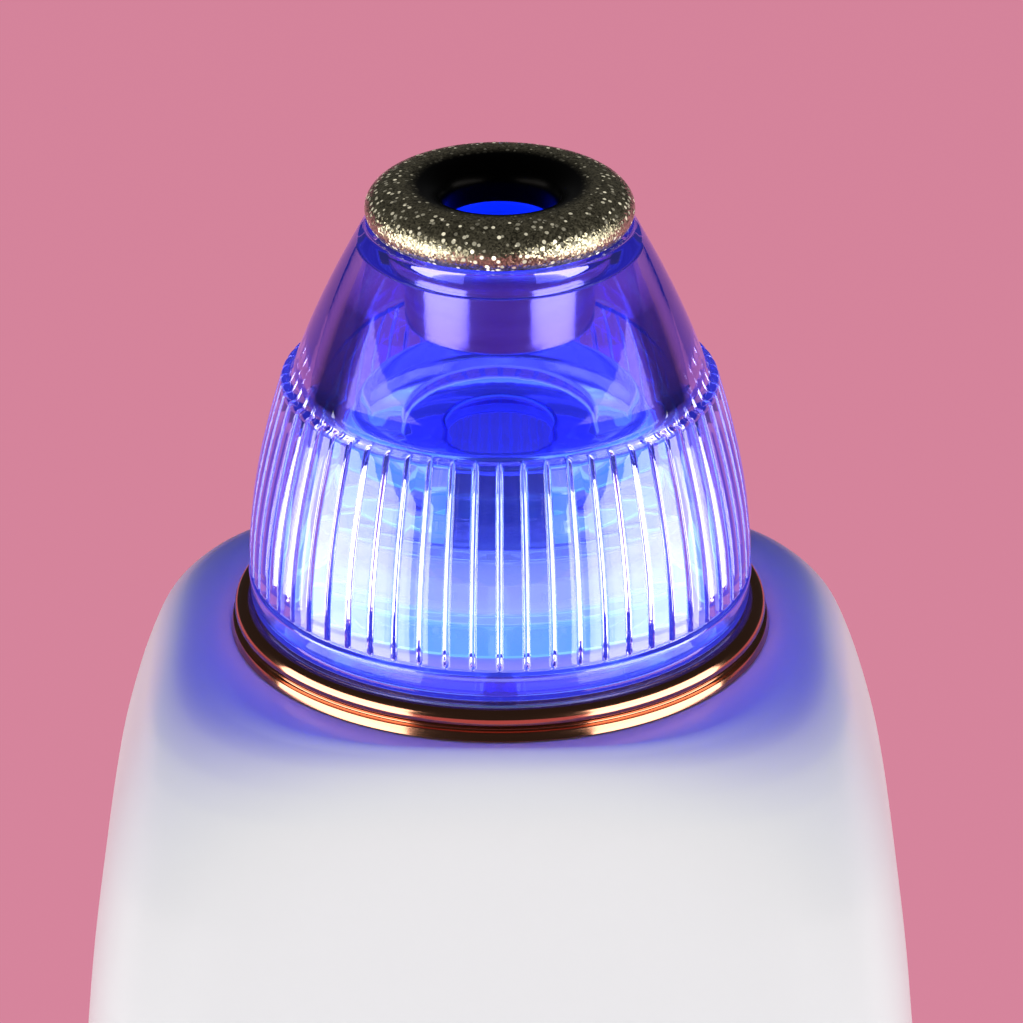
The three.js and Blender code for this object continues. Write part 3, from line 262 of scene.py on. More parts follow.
@dataclass(frozen=True)
class LitFinish(Finish):
    """Clear plastic that the lamps fill with light, which changes up its height and at edges.

    A stop is a rise above the head's foot, a colour and a number. For the levels of the painted
    glow the number is its strength. For the painted tints of the clear wall it is how dark the
    painted shade turns the wall in the band of slanting views where light stays inside.
    """

    levels: tuple[Stop, ...] = ()
    tints: tuple[Stop, ...] = ((0.0, "FFFFFF", 0.0), (22.3, "FFFFFF", 0.0))
    # How slanting the view is where the painted dark band begins, is full, starts to thin and ends
    band: tuple[float, float, float, float] = (0.26, 0.36, 0.48, 0.6)
    # Painted shade: colour of the dark band
    band_colour: str = "04030A"
    # Radius inside which the painted glow is left out, and the radius and painted shade of the well
    hollow_mm: float = 0.0
    well_mm: float = 3.1
    well_colour: str = "2026A0"
    # Painted edge glow: its colour, strength and blend
    edge_colour: str = "5A50FF"
    edge_gain: float = 0.07
    edge_blend: float = 0.35

    @staticmethod
    def ramp(tree: Tree, stops: Sequence[Stop]) -> Node:
        """Lays the stops' colours up the height, with their numbers as alpha."""
        low, high = stops[0][0], stops[-1][0] + 0.01
        height = add_node(tree, "SeparateXYZ", add_node(tree, "TexCoord").outputs["Object"]).outputs["Z"]
        share = add_node(tree, "MapRange", height, (HEAD_FOOT + low) * MM, (HEAD_FOOT + high) * MM)
        ramp = add_node(tree, "ValToRGB", share)
        elements = ramp.color_ramp.elements
        while len(elements) < len(stops):
            elements.new(1.0)
        for element, (rise, code, alpha) in zip(elements, stops):
            element.position = (rise - low) / (high - low)
            element.color = (*linear(code)[:3], alpha)
        return ramp

    def inputs(self, tree: Tree) -> dict[str, object]:
        """Adds the tints, the dark band of outward surfaces, the glow and the hollow without glow.

        The ramp's alpha holds the painted glow's strength as a share of the strongest level. Grazing
        edges add a painted edge glow of its own gain and colour.
        """
        add = partial(add_node, tree)
        inputs = super().inputs(tree)
        # Painted light: tints of the lamps' colour up the height
        tints = self.ramp(tree, self.tints)
        colour = add("Mix", 1.0, inputs["Base Color"], tints, blend_type="MULTIPLY", **RGBA)
        # Painted shade: the dark band of slanting views
        begin, full, thin, end = self.band
        slant = add("LayerWeight", 0.5).outputs["Facing"]
        upward = add("SeparateXYZ", add("NewGeometry").outputs["Normal"]).outputs["Z"]
        dark = tints.outputs["Alpha"]
        for share in (
            add("MapRange", slant, begin, full, **SMOOTH),
            add("MapRange", slant, end, thin, **SMOOTH),
            add("MapRange", upward, 0.05, 0.1),
        ):
            dark = add("Math", dark, share, **TIMES)
        colour = add("Mix", dark, colour, linear(self.band_colour), **RGBA)
        # Painted glow of the lamps' light in the plastic, up the height
        peak = max(strength for _, _, strength in self.levels)
        ramp = self.ramp(tree, [(rise, code, strength / peak) for rise, code, strength in self.levels])
        facing = add("LayerWeight", self.edge_blend).outputs["Facing"]
        body = add("Math", ramp.outputs["Alpha"], peak, **TIMES)
        glow = add("Math", facing, self.edge_gain, body, operation="MULTIPLY_ADD")
        if self.hollow_mm:
            # Painted shade: the well turns dark blue, and the hollow gets no painted glow
            radius = from_axis(tree)
            deep = add("MapRange", radius, (self.well_mm + 0.3) * MM, (self.well_mm + 0.1) * MM)
            colour = add("Mix", deep, colour, linear(self.well_colour), **RGBA)
            reach = add("MapRange", radius, (self.hollow_mm - 1) * MM, self.hollow_mm * MM)
            glow = add("Math", glow, reach, **TIMES)
        tip = add("Mix", facing, ramp, linear(self.edge_colour), **RGBA)
        return {**inputs, "Base Color": colour, "Emission Color": tip, "Emission Strength": glow}


# Injection-moulded gloss ABS: milky white and even, with a soft sheen over the mould's faint waves
GLOSS_ABS = Finish(
    "moulded_gloss_abs", "F3F3F5", 0.3, grain_mm=0.6, relief_mm=0.0008, mottle=0.0, rough_range=0.0
)
# Rose gold plating on polished brass: copper-pink metal, mirror smooth but for faint polishing lines
ROSE_GOLD = Finish(
    "polished_rose_gold_plate", "C98A6C", 0.12, 1.0, grain_mm=0.25, relief_mm=0.0006, mottle=0.05, turned=True
)
# Polished polycarbonate: clear and strongly bending; its tints, glow, edge glow and dark band are painted
# light and shade of the lamps inside the wall
CLEAR_HEAD = LitFinish(
    "polished_clear_polycarbonate", "FAFAFF", 0.02,
    ior=1.58, transmission=1.0, grain_mm=1.2, relief_mm=0.003, mottle=0.02, rough_range=0.02,
    levels=(
        (0.0, "3A46FF", 0.08), (2.0, "4652FF", 0.09), (13.0, "3A40FF", 0.05), (14.0, "2A22F0", 0.015),
        (22.3, "2A2CF0", 0.03),
    ),
    tints=(
        (0.0, "B4BCFF", 0.0), (12.8, "BCC4FF", 0.0), (14.0, "B0A6FF", 1.0), (19.0, "B0A6FF", 0.9),
        (20.9, "B4B4FF", 0.0), (22.3, "B4B4FF", 0.0),
    ),
)
# Moulded acrylic light guide: clear with a faint haze; its glowing bands and bright edges are painted light
# of the lamps below, and its dark well is painted shade
LIGHT_GUIDE = LitFinish(
    "moulded_acrylic_light_guide", "B9BEFF", 0.05,
    ior=1.49, transmission=0.94, grain_mm=0.8, relief_mm=0.004, mottle=0.03,
    levels=(
        (0.0, "3C5CFF", 0.1), (1.6, "3C5CFF", 0.15), (1.8, "62E8F0", 0.85), (3.6, "80ECF4", 0.85),
        (3.9, "D6F4F4", 0.9), (6.8, "C4DCFF", 0.65), (7.1, "5A74FF", 0.3), (8.7, "3046FF", 0.1),
        (11.7, "2436FF", 0.05),
    ),
    edge_colour="B4C8FF", edge_gain=0.25, edge_blend=0.2, hollow_mm=7.4,
)
# Moulded polycarbonate light pipe: small, clear and faintly lit from behind
LIGHT_PIPE = Finish(
    "moulded_clear_light_pipe", "DDE2F2", 0.08,
    ior=1.58, transmission=0.8, grain_mm=0.3, glow="4D62FF", glow_strength=0.25,
)
# Diamond grit held in nickel: dark olive-gold with specks that flash warm white as painted glints, over a
# faint painted glow of the ground
GRIT = GritFinish("nickel_bonded_diamond_grit", "8F8870", 0.26, 1.0)
# Black nickel in the mouth: smooth and almost without light
BLACK_NICKEL = Finish(
    "black_nickel_plated_mouth", "0B0A09", 0.3, 1.0, grain_mm=0.3, relief_mm=0.0005, mottle=0.1
)
# Bore of the tip: smooth steel; its blue colour and blue glow are painted light of the lamps below it
BORE_PAINTED_BLUE_LIGHT = Finish(
    "reamed_steel_bore", "2038C0", 0.4, 1.0, grain_mm=0.3, relief_mm=0.0005, glow="062CF0", glow_strength=0.6
)
# Turned and polished stainless steel: bright, with fine lines round its axis
POLISHED_STEEL = Finish(
    "turned_stainless_steel", "C9CBD2", 0.14, 1.0, grain_mm=0.2, relief_mm=0.001, mottle=0.06, turned=True
)
# Nickel-plated steel of screws, can and socket: softer than polished, with handling marks
PLATED_STEEL = Finish("nickel_plated_steel", "B4B6BA", 0.28, 1.0, grain_mm=0.3, relief_mm=0.0015, mottle=0.08)
# Translucent silicone: soft, slightly cloudy, with a satin skin
SILICONE = Finish(
    "moulded_silicone_rubber", "D9D9DE", 0.5, ior=1.41, transmission=0.35, grain_mm=0.4, relief_mm=0.003
)
# Pressed felt: matt and fibrous; its dark blue is painted shade and lamplight of its well
FELT = Finish("pressed_filter_felt", "2C305C", 0.95, grain_mm=0.12, relief_mm=0.05, mottle=0.07)
# Solder mask over fibreglass: green, with the weave faintly in relief
SOLDER_MASK = Finish(
    "green_solder_mask_board", "1F5A3A", 0.4, coat=0.4, grain_mm=0.35, relief_mm=0.01, mottle=0.15
)
# White solder mask of a lamp board; its blue glow is painted light of the lamps thrown back up
WHITE_MASK = Finish(
    "white_solder_mask_board", "E8EAF4", 0.45,
    coat=0.3, grain_mm=0.35, relief_mm=0.008, glow="3C46FF", glow_strength=0.5,
)
# Silicone window of a surface-mounted lamp: smooth, and bright with its own blue
LAMP = Finish("lamp_chip_window", "AEB6FF", 0.3, grain_mm=0.2, glow="4048FF", glow_strength=6.0)
# Glass-filled nylon, moulded black: matt with a fine bite
BLACK_NYLON = Finish("moulded_black_nylon", "1D1D20", 0.5, grain_mm=0.2, relief_mm=0.004, mottle=0.15)
# Moulded grey ABS of the inner frame: even and half matt
GREY_ABS = Finish("moulded_grey_abs", "8C8F95", 0.5, grain_mm=0.3, relief_mm=0.003, mottle=0.06)
# Natural acetal of the pump: creamy, waxy and smooth
ACETAL = Finish("moulded_natural_acetal", "E2E1DA", 0.38, ior=1.48, grain_mm=0.4)
# Heat-shrunk PVC sleeve of the cell: glossy blue and slightly wrinkled
SHRINK_WRAP = Finish("heat_shrunk_pvc_sleeve", "3A6EA8", 0.3, coat=0.5, relief_mm=0.006, mottle=0.08)


class Slot(Enum):
    """The record's material slots by name, each with the finish that its plain pieces get."""

    WHITE_ABS = GLOSS_ABS
    ROSE_GOLD = ROSE_GOLD
    CLEAR_PLASTIC = LIGHT_PIPE
    GRIT_COAT = GRIT
    SILICONE = SILICONE
    FELT = FELT
    BOARD = SOLDER_MASK
    LAMP = LAMP
    BLACK_PLASTIC = BLACK_NYLON
    GREY_PLASTIC = GREY_ABS
    PUMP_PLASTIC = ACETAL
    CELL_WRAP = SHRINK_WRAP
    STEEL = PLATED_STEEL

    @property
    def label(self) -> str:
        """The slot's name in the record."""
        return self.name.lower()


def fillet(
    corners: Sequence[Sequence[float]], radius: float | Sequence[float], closed: bool = True, steps: int = 5
) -> Array:
    """Rounds every corner of an outline.

    Each corner is replaced by a quadratic Bezier curve that leaves and meets the two sides one
    radius away from the corner, or at just under half of the shorter side.

    Args:
        corners: points of the outline in order.
        radius: one rounding, or one for each corner.
        closed: whether the outline closes on itself; else its two ends stay sharp.
        steps: spans of each curve.

    Returns:
        The rounded outline, one point a row.
    """
    middle = np.asarray(corners, float)
    back, ahead = (np.roll(middle, step, axis=0) - middle for step in (1, -1))
    long_back, long_ahead = (np.linalg.norm(side, axis=1, keepdims=True) for side in (back, ahead))
    wanted = np.broadcast_to(np.asarray(radius, float), (len(middle),))[:, None]
    reach = np.minimum(wanted, 0.45 * np.minimum(long_back, long_ahead))
    if not closed:
        reach[[0, -1]] = 0.0
    first, last = (middle + back * reach / long_back)[:, None], (middle + ahead * reach / long_ahead)[:, None]
    share = (0.5 - 0.5 * np.cos(np.linspace(0, math.pi, steps + 1)))[None, :, None]
    curve = first * (1 - share) ** 2 + 2 * middle[:, None] * share * (1 - share) + last * share**2
    points = curve.reshape(-1, middle.shape[1])
    apart = np.linalg.norm(np.diff(points, axis=0, prepend=points[-1:]), axis=1) > 1e-6
    apart[0] = True
    return points[apart]


def filled(profile: Array, longest: float) -> Array:
    """Splits every side of an outline that is longer than the longest one allowed, evenly."""
    gaps = np.linalg.norm(np.diff(profile, axis=0), axis=1)
    counts = np.maximum(1, np.ceil(gaps / longest)).astype(int)
    side = np.repeat(np.arange(len(counts)), counts)
    step = np.arange(counts.sum()) - np.repeat(np.cumsum(counts) - counts, counts)
    share = (step / np.repeat(counts, counts))[:, None]
    return np.vstack([profile[side] + (profile[side + 1] - profile[side]) * share, profile[-1:]])


def bend_between(start: Array, end: Array, leave: Array, arrive: Array, t: Array) -> Array:
    """Gives the cubic Hermite curve between two points for its tangents at both, at a share t."""
    return start + (end - start) * (3 - 2 * t) * t**2 + leave * t * (1 - t) ** 2 - arrive * t**2 * (1 - t)


def smooth_between(knots: Array, values: Array, at: Array) -> Array:
    """Reads one smooth curve through a table of rising knots and their values, at the given places.

    A cubic Hermite curve whose slope at each knot is the mean of its neighbours' chords.
    """
    chord = np.diff(values) / np.diff(knots)
    slope = np.concatenate([chord[:1], (chord[1:] + chord[:-1]) / 2, chord[-1:]])
    i = np.clip(np.searchsorted(knots, at, side="right") - 1, 0, len(knots) - 2)
    width = knots[i + 1] - knots[i]
    t = np.clip((at - knots[i]) / width, 0, 1)
    return bend_between(values[i], values[i + 1], width * slope[i], width * slope[i + 1], t)


def around(steps: int) -> Array:
    """Gives even angles round a full turn, without the last."""
    return np.linspace(0, TURN, steps, endpoint=False)


def turned(radius: Array, angle: Array, height: Array) -> Array:
    """Makes a grid of points: x and y are the radius times cosine and sine, and z is the height."""
    return np.stack(np.broadcast_arrays(radius * np.cos(angle), radius * np.sin(angle), height), axis=-1)


def arc(middle: float, height: float, wide: float, high: float, swing: Array) -> Array:
    """Gives points of radius and height on an ellipse, from its middle, its half sizes and angles."""
    return np.stack([middle + wide * np.cos(swing), height + high * np.sin(swing)], axis=1)


def lathe(profile: Array, steps: int = 192) -> Array:
    """Turns an outline of radius and height about Z, with one row for each of its points."""
    return turned(profile[:, :1], around(steps)[None, :], profile[:, 1:])


def lathe_along_y(profile: Array, x: float, z: float, steps: int = 96) -> Array:
    """Turns an outline of radius and depth about a line along Y through x and z."""
    grid = lathe(profile, steps)
    return np.stack([x + grid[..., 0], grid[..., 2], z + grid[..., 1]], axis=-1)


@dataclass
class Piece:
    """A grid of points as one closed skin of the device, in place of one node of the frame."""

    name: str
    grid: Array
    body: str
    slot: Slot
    replaced: str
    finishes: Sequence[Finish] = ()
    loop: bool = True
    cuts: Sequence[Thing] = ()
    joins: Sequence[Thing] = ()
    pick: Callable[[Array], Array] | None = None
    shadow: bool = True

    def build(self) -> None:
        """Writes the mesh, works its joins and cuts, dresses it and hangs it on its body."""
        made = solid(self.name, self.grid, self.loop)
        for operation, tools in (("UNION", self.joins), ("DIFFERENCE", self.cuts)):
            for tool in tools:
                carve(made, tool, operation)
        mesh = made.data
        for finish in self.finishes or [self.slot.value]:
            mesh.materials.append(finish.material())
        if self.pick is not None:
            centres = np.zeros(len(mesh.polygons) * 3)
            mesh.polygons.foreach_get("center", centres)
            chosen = self.pick(centres.reshape(-1, 3) / MM).astype(np.int32)
            mesh.polygons.foreach_set("material_index", chosen)
        made.visible_shadow = self.shadow
        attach(made, self.body)
        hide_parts(self.replaced)
        LOG.info("%s: %d faces on %s", self.name, len(mesh.polygons), self.body)


def solid(name: str, grid: Array, loop: bool = True) -> Thing:
    """Makes a closed mesh of a grid whose columns run round.

    Args:
        name: the object's name.
        grid: points in millimetres, rows by columns by three.
        loop: whether the last row joins the first; else the end rows are closed by one face each.

    Returns:
        The object, smooth shaded, with its faces outward.
    """
    rows, columns = grid.shape[:2]
    row, column = np.arange(rows if loop else rows - 1)[:, None], np.arange(columns)[None, :]
    above, beside = (row + 1) % rows * columns, (column + 1) % columns
    quads = [row * columns + column, row * columns + beside, above + beside, above + column]
    faces = np.stack(quads, axis=-1).reshape(-1, 4).tolist()
    if not loop:
        ends = np.arange(columns)
        faces += [ends[::-1].tolist(), (ends + (rows - 1) * columns).tolist()]
    mesh = bpy.data.meshes.new(name)
    mesh.from_pydata((grid.reshape(-1, 3) * MM).tolist(), [], faces)
    work = bmesh.new()
    work.from_mesh(mesh)
    bmesh.ops.remove_doubles(work, verts=work.verts, dist=1e-7)
    bmesh.ops.dissolve_degenerate(work, edges=work.edges, dist=1e-8)
    bmesh.ops.recalc_face_normals(work, faces=work.faces)
    work.to_mesh(mesh)
    work.free()
    mesh.shade_smooth()
    made = bpy.data.objects.new(name, mesh)
    bpy.context.scene.collection.objects.link(made)
    return made


def carve(piece: Thing, tool: Thing, operation: str) -> None:
    """Joins a tool solid to a piece (UNION) or cuts it away (DIFFERENCE), and removes the tool."""
    work = piece.modifiers.new("carve", "BOOLEAN")
    work.operation, work.solver, work.object = operation, "EXACT", tool
    mesh = bpy.data.meshes.new_from_object(piece.evaluated_get(bpy.context.evaluated_depsgraph_get()))
    piece.modifiers.clear()
    old, piece.data = piece.data, mesh
    mesh.name = piece.name
    bpy.data.meshes.remove(old)
    bpy.data.objects.remove(tool)


def rod_tool(radius: float, low: float, high: float, x: float, y: float = 0.0, long: float = 0.0) -> Thing:
    """Makes an upright round tool solid, or one whose halves are drawn apart to a long slot."""
    grid = lathe(np.array([[radius, low], [radius, high]]), 64)
    if long:
        grid[..., 0] += np.where(grid[..., 0] > 0, 1, -1) * (long / 2 - radius)
    return solid("tool", grid + [x, y, 0.0], loop=False)


def bar_tool(radius: float, front: float, back: float, z: float) -> Thing:
    """Makes a round tool solid along Y."""
    return solid("tool", lathe_along_y(np.array([[radius, front], [radius, back]]), 0.0, z), loop=False)


@dataclass
class Body:
    """The white shell and the base cap: rounded boxes whose size follows a table up the height."""

    half_width: float = 25.2
    half_depth: float = 19.5
    wall: float = 2.0
    top_wall: float = 2.2
    seam: float = 6.2
    seam_gap: float = 0.3
    edge: float = 0.3
    bore: float = 12.6
    foot_rounding: float = 2.2
    spigot_gap: float = 0.25
    spigot_wall: float = 1.3
    spigot_top: float = 10.2
    floor: float = 2.0
    # Place, radius and length of the two bosses
    boss: Triple = (15.5, 2.4, 7.4)
    pilot: float = 1.05
    screw_place: float = 12.8
    columns: int = 288
    bend_row: int = 6

    # Share of the height, of the half width and of the half depth, and the section's power
    TABLE = np.array(
        [
            [0.0443, 0.835, 0.845, 5.0], [0.2, 0.868, 0.888, 5.0], [0.4, 0.937, 0.95, 5.0],
            [0.56, 0.985, 0.99, 5.0], [0.665, 1.0, 1.0, 5.0], [0.75, 0.976, 0.985, 5.0],
            [0.85, 0.929, 0.955, 5.0], [0.885, 0.908, 0.943, 4.8], [0.925, 0.873, 0.927, 4.5],
            [0.952, 0.836, 0.915, 4.1], [0.971, 0.802, 0.902, 3.8], [0.983, 0.774, 0.885, 3.5],
            [0.9925, 0.73, 0.862, 3.2], [0.9975, 0.68, 0.835, 3.0], [1.0, 0.615, 0.8, 3.0],
        ]
    )

    def sizes(self, height: Array) -> tuple[Array, Array]:
        """Gives the half width and half depth at each height."""
        knots, *shares = self.TABLE[:, :3].T
        rise = np.clip(height / PLATEAU, knots[0], 1.0)
        across, deep = (np.minimum(smooth_between(knots, share, rise), 1.0) for share in shares)
        return across * self.half_width, deep * self.half_depth

    def sections(self, height: Array, across: Array, deep: Array, round_share: Array) -> Array:
        """Stacks sections between a rounded box and a circle.

        The rounded box is a superellipse read by its polar angle. Cosine over half width and sine
        over half depth are raised to the table's power and added, and the radius is one over that
        power's root of the sum. The circle's radius is the half width.

        Args:
            height: height of each row.
            across: half width of each row.
            deep: half depth of each row.
            round_share: 0 for the rounded box, 1 for the circle.
        """
        angle = around(self.columns)[None, :]
        power = np.interp(height / PLATEAU, self.TABLE[:, 0], self.TABLE[:, 3])[:, None]
        height, across, deep, round_share = (v[:, None] for v in (height, across, deep, round_share))
        box = (np.abs(np.cos(angle)) / across) ** power + (np.abs(np.sin(angle)) / deep) ** power
        box = box ** (-1 / power)
        return turned(box + (across - box) * round_share, angle, height)

    def shoulder(self, rows: int) -> Array:
        """Bends the outside over into the plateau without a crease.

        A curve runs through the table's last knots as points in space. Between two knots it is
        the cubic that leaves and arrives along the knots' tangents. The last tangent is level.

        Args:
            rows: how many rows of height, half width and half depth each gap gets.
        """
        knots = self.TABLE[:, :3] * [PLATEAU, self.half_width, self.half_depth]
        length = np.linalg.norm(np.diff(knots, axis=0), axis=1)
        lean = (knots[2:] - knots[:-2]) / (length[1:] + length[:-1])[:, None]
        level = (knots[-1] - knots[-2]) * [0, 1, 1]
        lean = np.vstack([lean[:1], lean, level / length[-1]])
        t = (np.arange(rows) / rows)[:, None]
        curve = [
            bend_between(knots[i], knots[i + 1], length[i] * lean[i], length[i] * lean[i + 1], t)
            for i in range(self.bend_row, len(knots) - 1)
        ]
        return np.vstack([*curve, knots[-1:]]).T

    def shell_grid(self) -> Array:
        """Runs up the outside, over the plateau, down the bore and down the inner wall."""
        low, ceiling, lip = self.seam + self.seam_gap / 2, PLATEAU - self.top_wall, self.bore + self.edge
        wall_z = np.linspace(low + self.edge, self.TABLE[self.bend_row, 0] * PLATEAU, 60, endpoint=False)
        outer_z, across, deep = np.hstack([[wall_z, *self.sizes(wall_z)], self.shoulder(12)])
        foot_w, foot_d = self.sizes(np.array([low]))
        rounding = np.array([self.edge, 0.09, 0.0])
        inner_z = np.linspace(ceiling, low, 60)
        inner_w, inner_d = (size - self.wall for size in self.sizes(inner_z))
        inward, outward = np.linspace(0, 1, 14)[1:], np.linspace(0, 1, 6)[1:-1]
        swing = np.linspace(0, math.pi / 2, 6)[1:]
        bend = lip - self.edge * np.sin(swing)
        bore = np.array([self.bore])
        # Height, half width, half depth and share of roundness of each stretch
        rows = [
            (low, foot_w - rounding, foot_d - rounding, 0),
            (outer_z, across, deep, 0),
            (PLATEAU, *(last[-1] + (lip - last[-1]) * inward for last in (across, deep)), inward),
            (PLATEAU - self.edge * (1 - np.cos(swing)), bend, bend, 1),
            (ceiling, bore, bore, 1),
            (ceiling, *(bore + (first[0] - bore) * outward for first in (inner_w, inner_d)), 1 - outward),
            (inner_z, inner_w, inner_d, 0),
        ]
        return self.sections(*np.hstack([np.stack(np.broadcast_arrays(*row)) for row in rows]))

    def cap_grid(self) -> Array:
        """Runs from the underside round its edge to the seam, in to the spigot and down inside."""
        across, deep = (float(size[0]) for size in self.sizes(np.array([self.seam])))
        seam, middle = self.seam - self.seam_gap / 2, min(across, deep) - 0.01
        inset = self.wall + self.spigot_gap
        within = inset + self.spigot_wall
        corners = [
            [middle, 0.0], [0.0, 0.0], [0.0, seam], [inset, seam], [inset, self.spigot_top],
            [within, self.spigot_top], [within, self.floor], [middle, self.floor],
        ]
        rounding = [0, self.foot_rounding, 0.3, 0.3, 0.3, 0.3, 0.5, 0]
        inwards, height = filled(fillet(corners, rounding, closed=False, steps=8), 1.6).T
        return self.sections(height, across - inwards, deep - inwards, np.zeros(len(height)))

    def build(self, front: Sequence[Pair]) -> None:
        """Builds the shell and the cap with their bosses, screw holes and openings.

        Args:
            front: height and radius of each hole in the front wall.
        """
        place, boss, length = self.boss
        ceiling = PLATEAU - self.top_wall
        foot = ceiling - length
        joins = [rod_tool(boss, foot, ceiling + 0.5, side * place) for side in SIDES]
        cuts = [rod_tool(self.pilot, foot - 1, foot + 5.15, side * place) for side in SIDES]
        cuts += [bar_tool(radius, -self.half_depth - 1, -12.3, height) for height, radius in front]
        shell = Piece("shell_skin", self.shell_grid(), "root", Slot.WHITE_ABS, "body_shell")
        shell.joins, shell.cuts = joins, cuts
        shell.build()
        screws = [side * self.screw_place for side in SIDES]
        joins = [rod_tool(2.5, 1.0, 10.7, x, WORKS_AXIS) for x in screws]
        cuts = [rod_tool(self.pilot, -1, 11.7, x, WORKS_AXIS) for x in screws]
        cuts += [rod_tool(2.05, -1, 2.15, x, WORKS_AXIS) for x in screws]
        cuts.append(rod_tool(1.8, -1, 3.0, 0.0, -8.9, long=9.3))
        cuts += [rod_tool(0.8, -1, 3.0, 0.0, 5.7 + 2.9 * i, long=9.0) for i in range(3)]
        cap = Piece("cap_skin", self.cap_grid(), "root", Slot.WHITE_ABS, "base_cap", loop=False)
        cap.joins, cap.cuts = joins, cuts
        cap.build()


@dataclass
class BezelRing:
    """The rose gold ring: a round bead over a foot that flares on to the plateau."""

    inner: float = 12.9
    ledge: float = 1.5
    # Radius and height of the bead's middle, and the radius of its section
    bead: Triple = (14.3, 1.15, 0.65)
    foot: float = 15.2
    foot_height: float = 0.55
    gap: float = 0.06

    def build(self) -> None:
        """Follows the foot's edge, the bead and the ledge that the head stands over."""
        middle, height, section = self.bead
        swing = np.radians(np.linspace(-48, 146, 30))
        bead = arc(middle, PLATEAU + height, section, section, swing)
        inner, outer = self.inner, self.foot
        low, ledge, neck = (PLATEAU + rise for rise in (self.gap, self.ledge, self.foot_height))
        foot = [[inner, low], [outer, low], [outer - 0.15, neck], [bead[0, 0] + 0.02, neck + 0.02]]
        foot = fillet(foot, [0.1, 0.05, 0.06, 0.0], closed=False)
        inside = fillet([[bead[-1, 0] - 0.05, ledge], [inner, ledge], [inner, low]], 0.12, closed=False)
        line = filled(np.vstack([foot[1:], bead, inside]), 0.35)[:-1]
        Piece("bezel_skin", lathe(line, 288), "root", Slot.ROSE_GOLD, "bezel_ring").build()


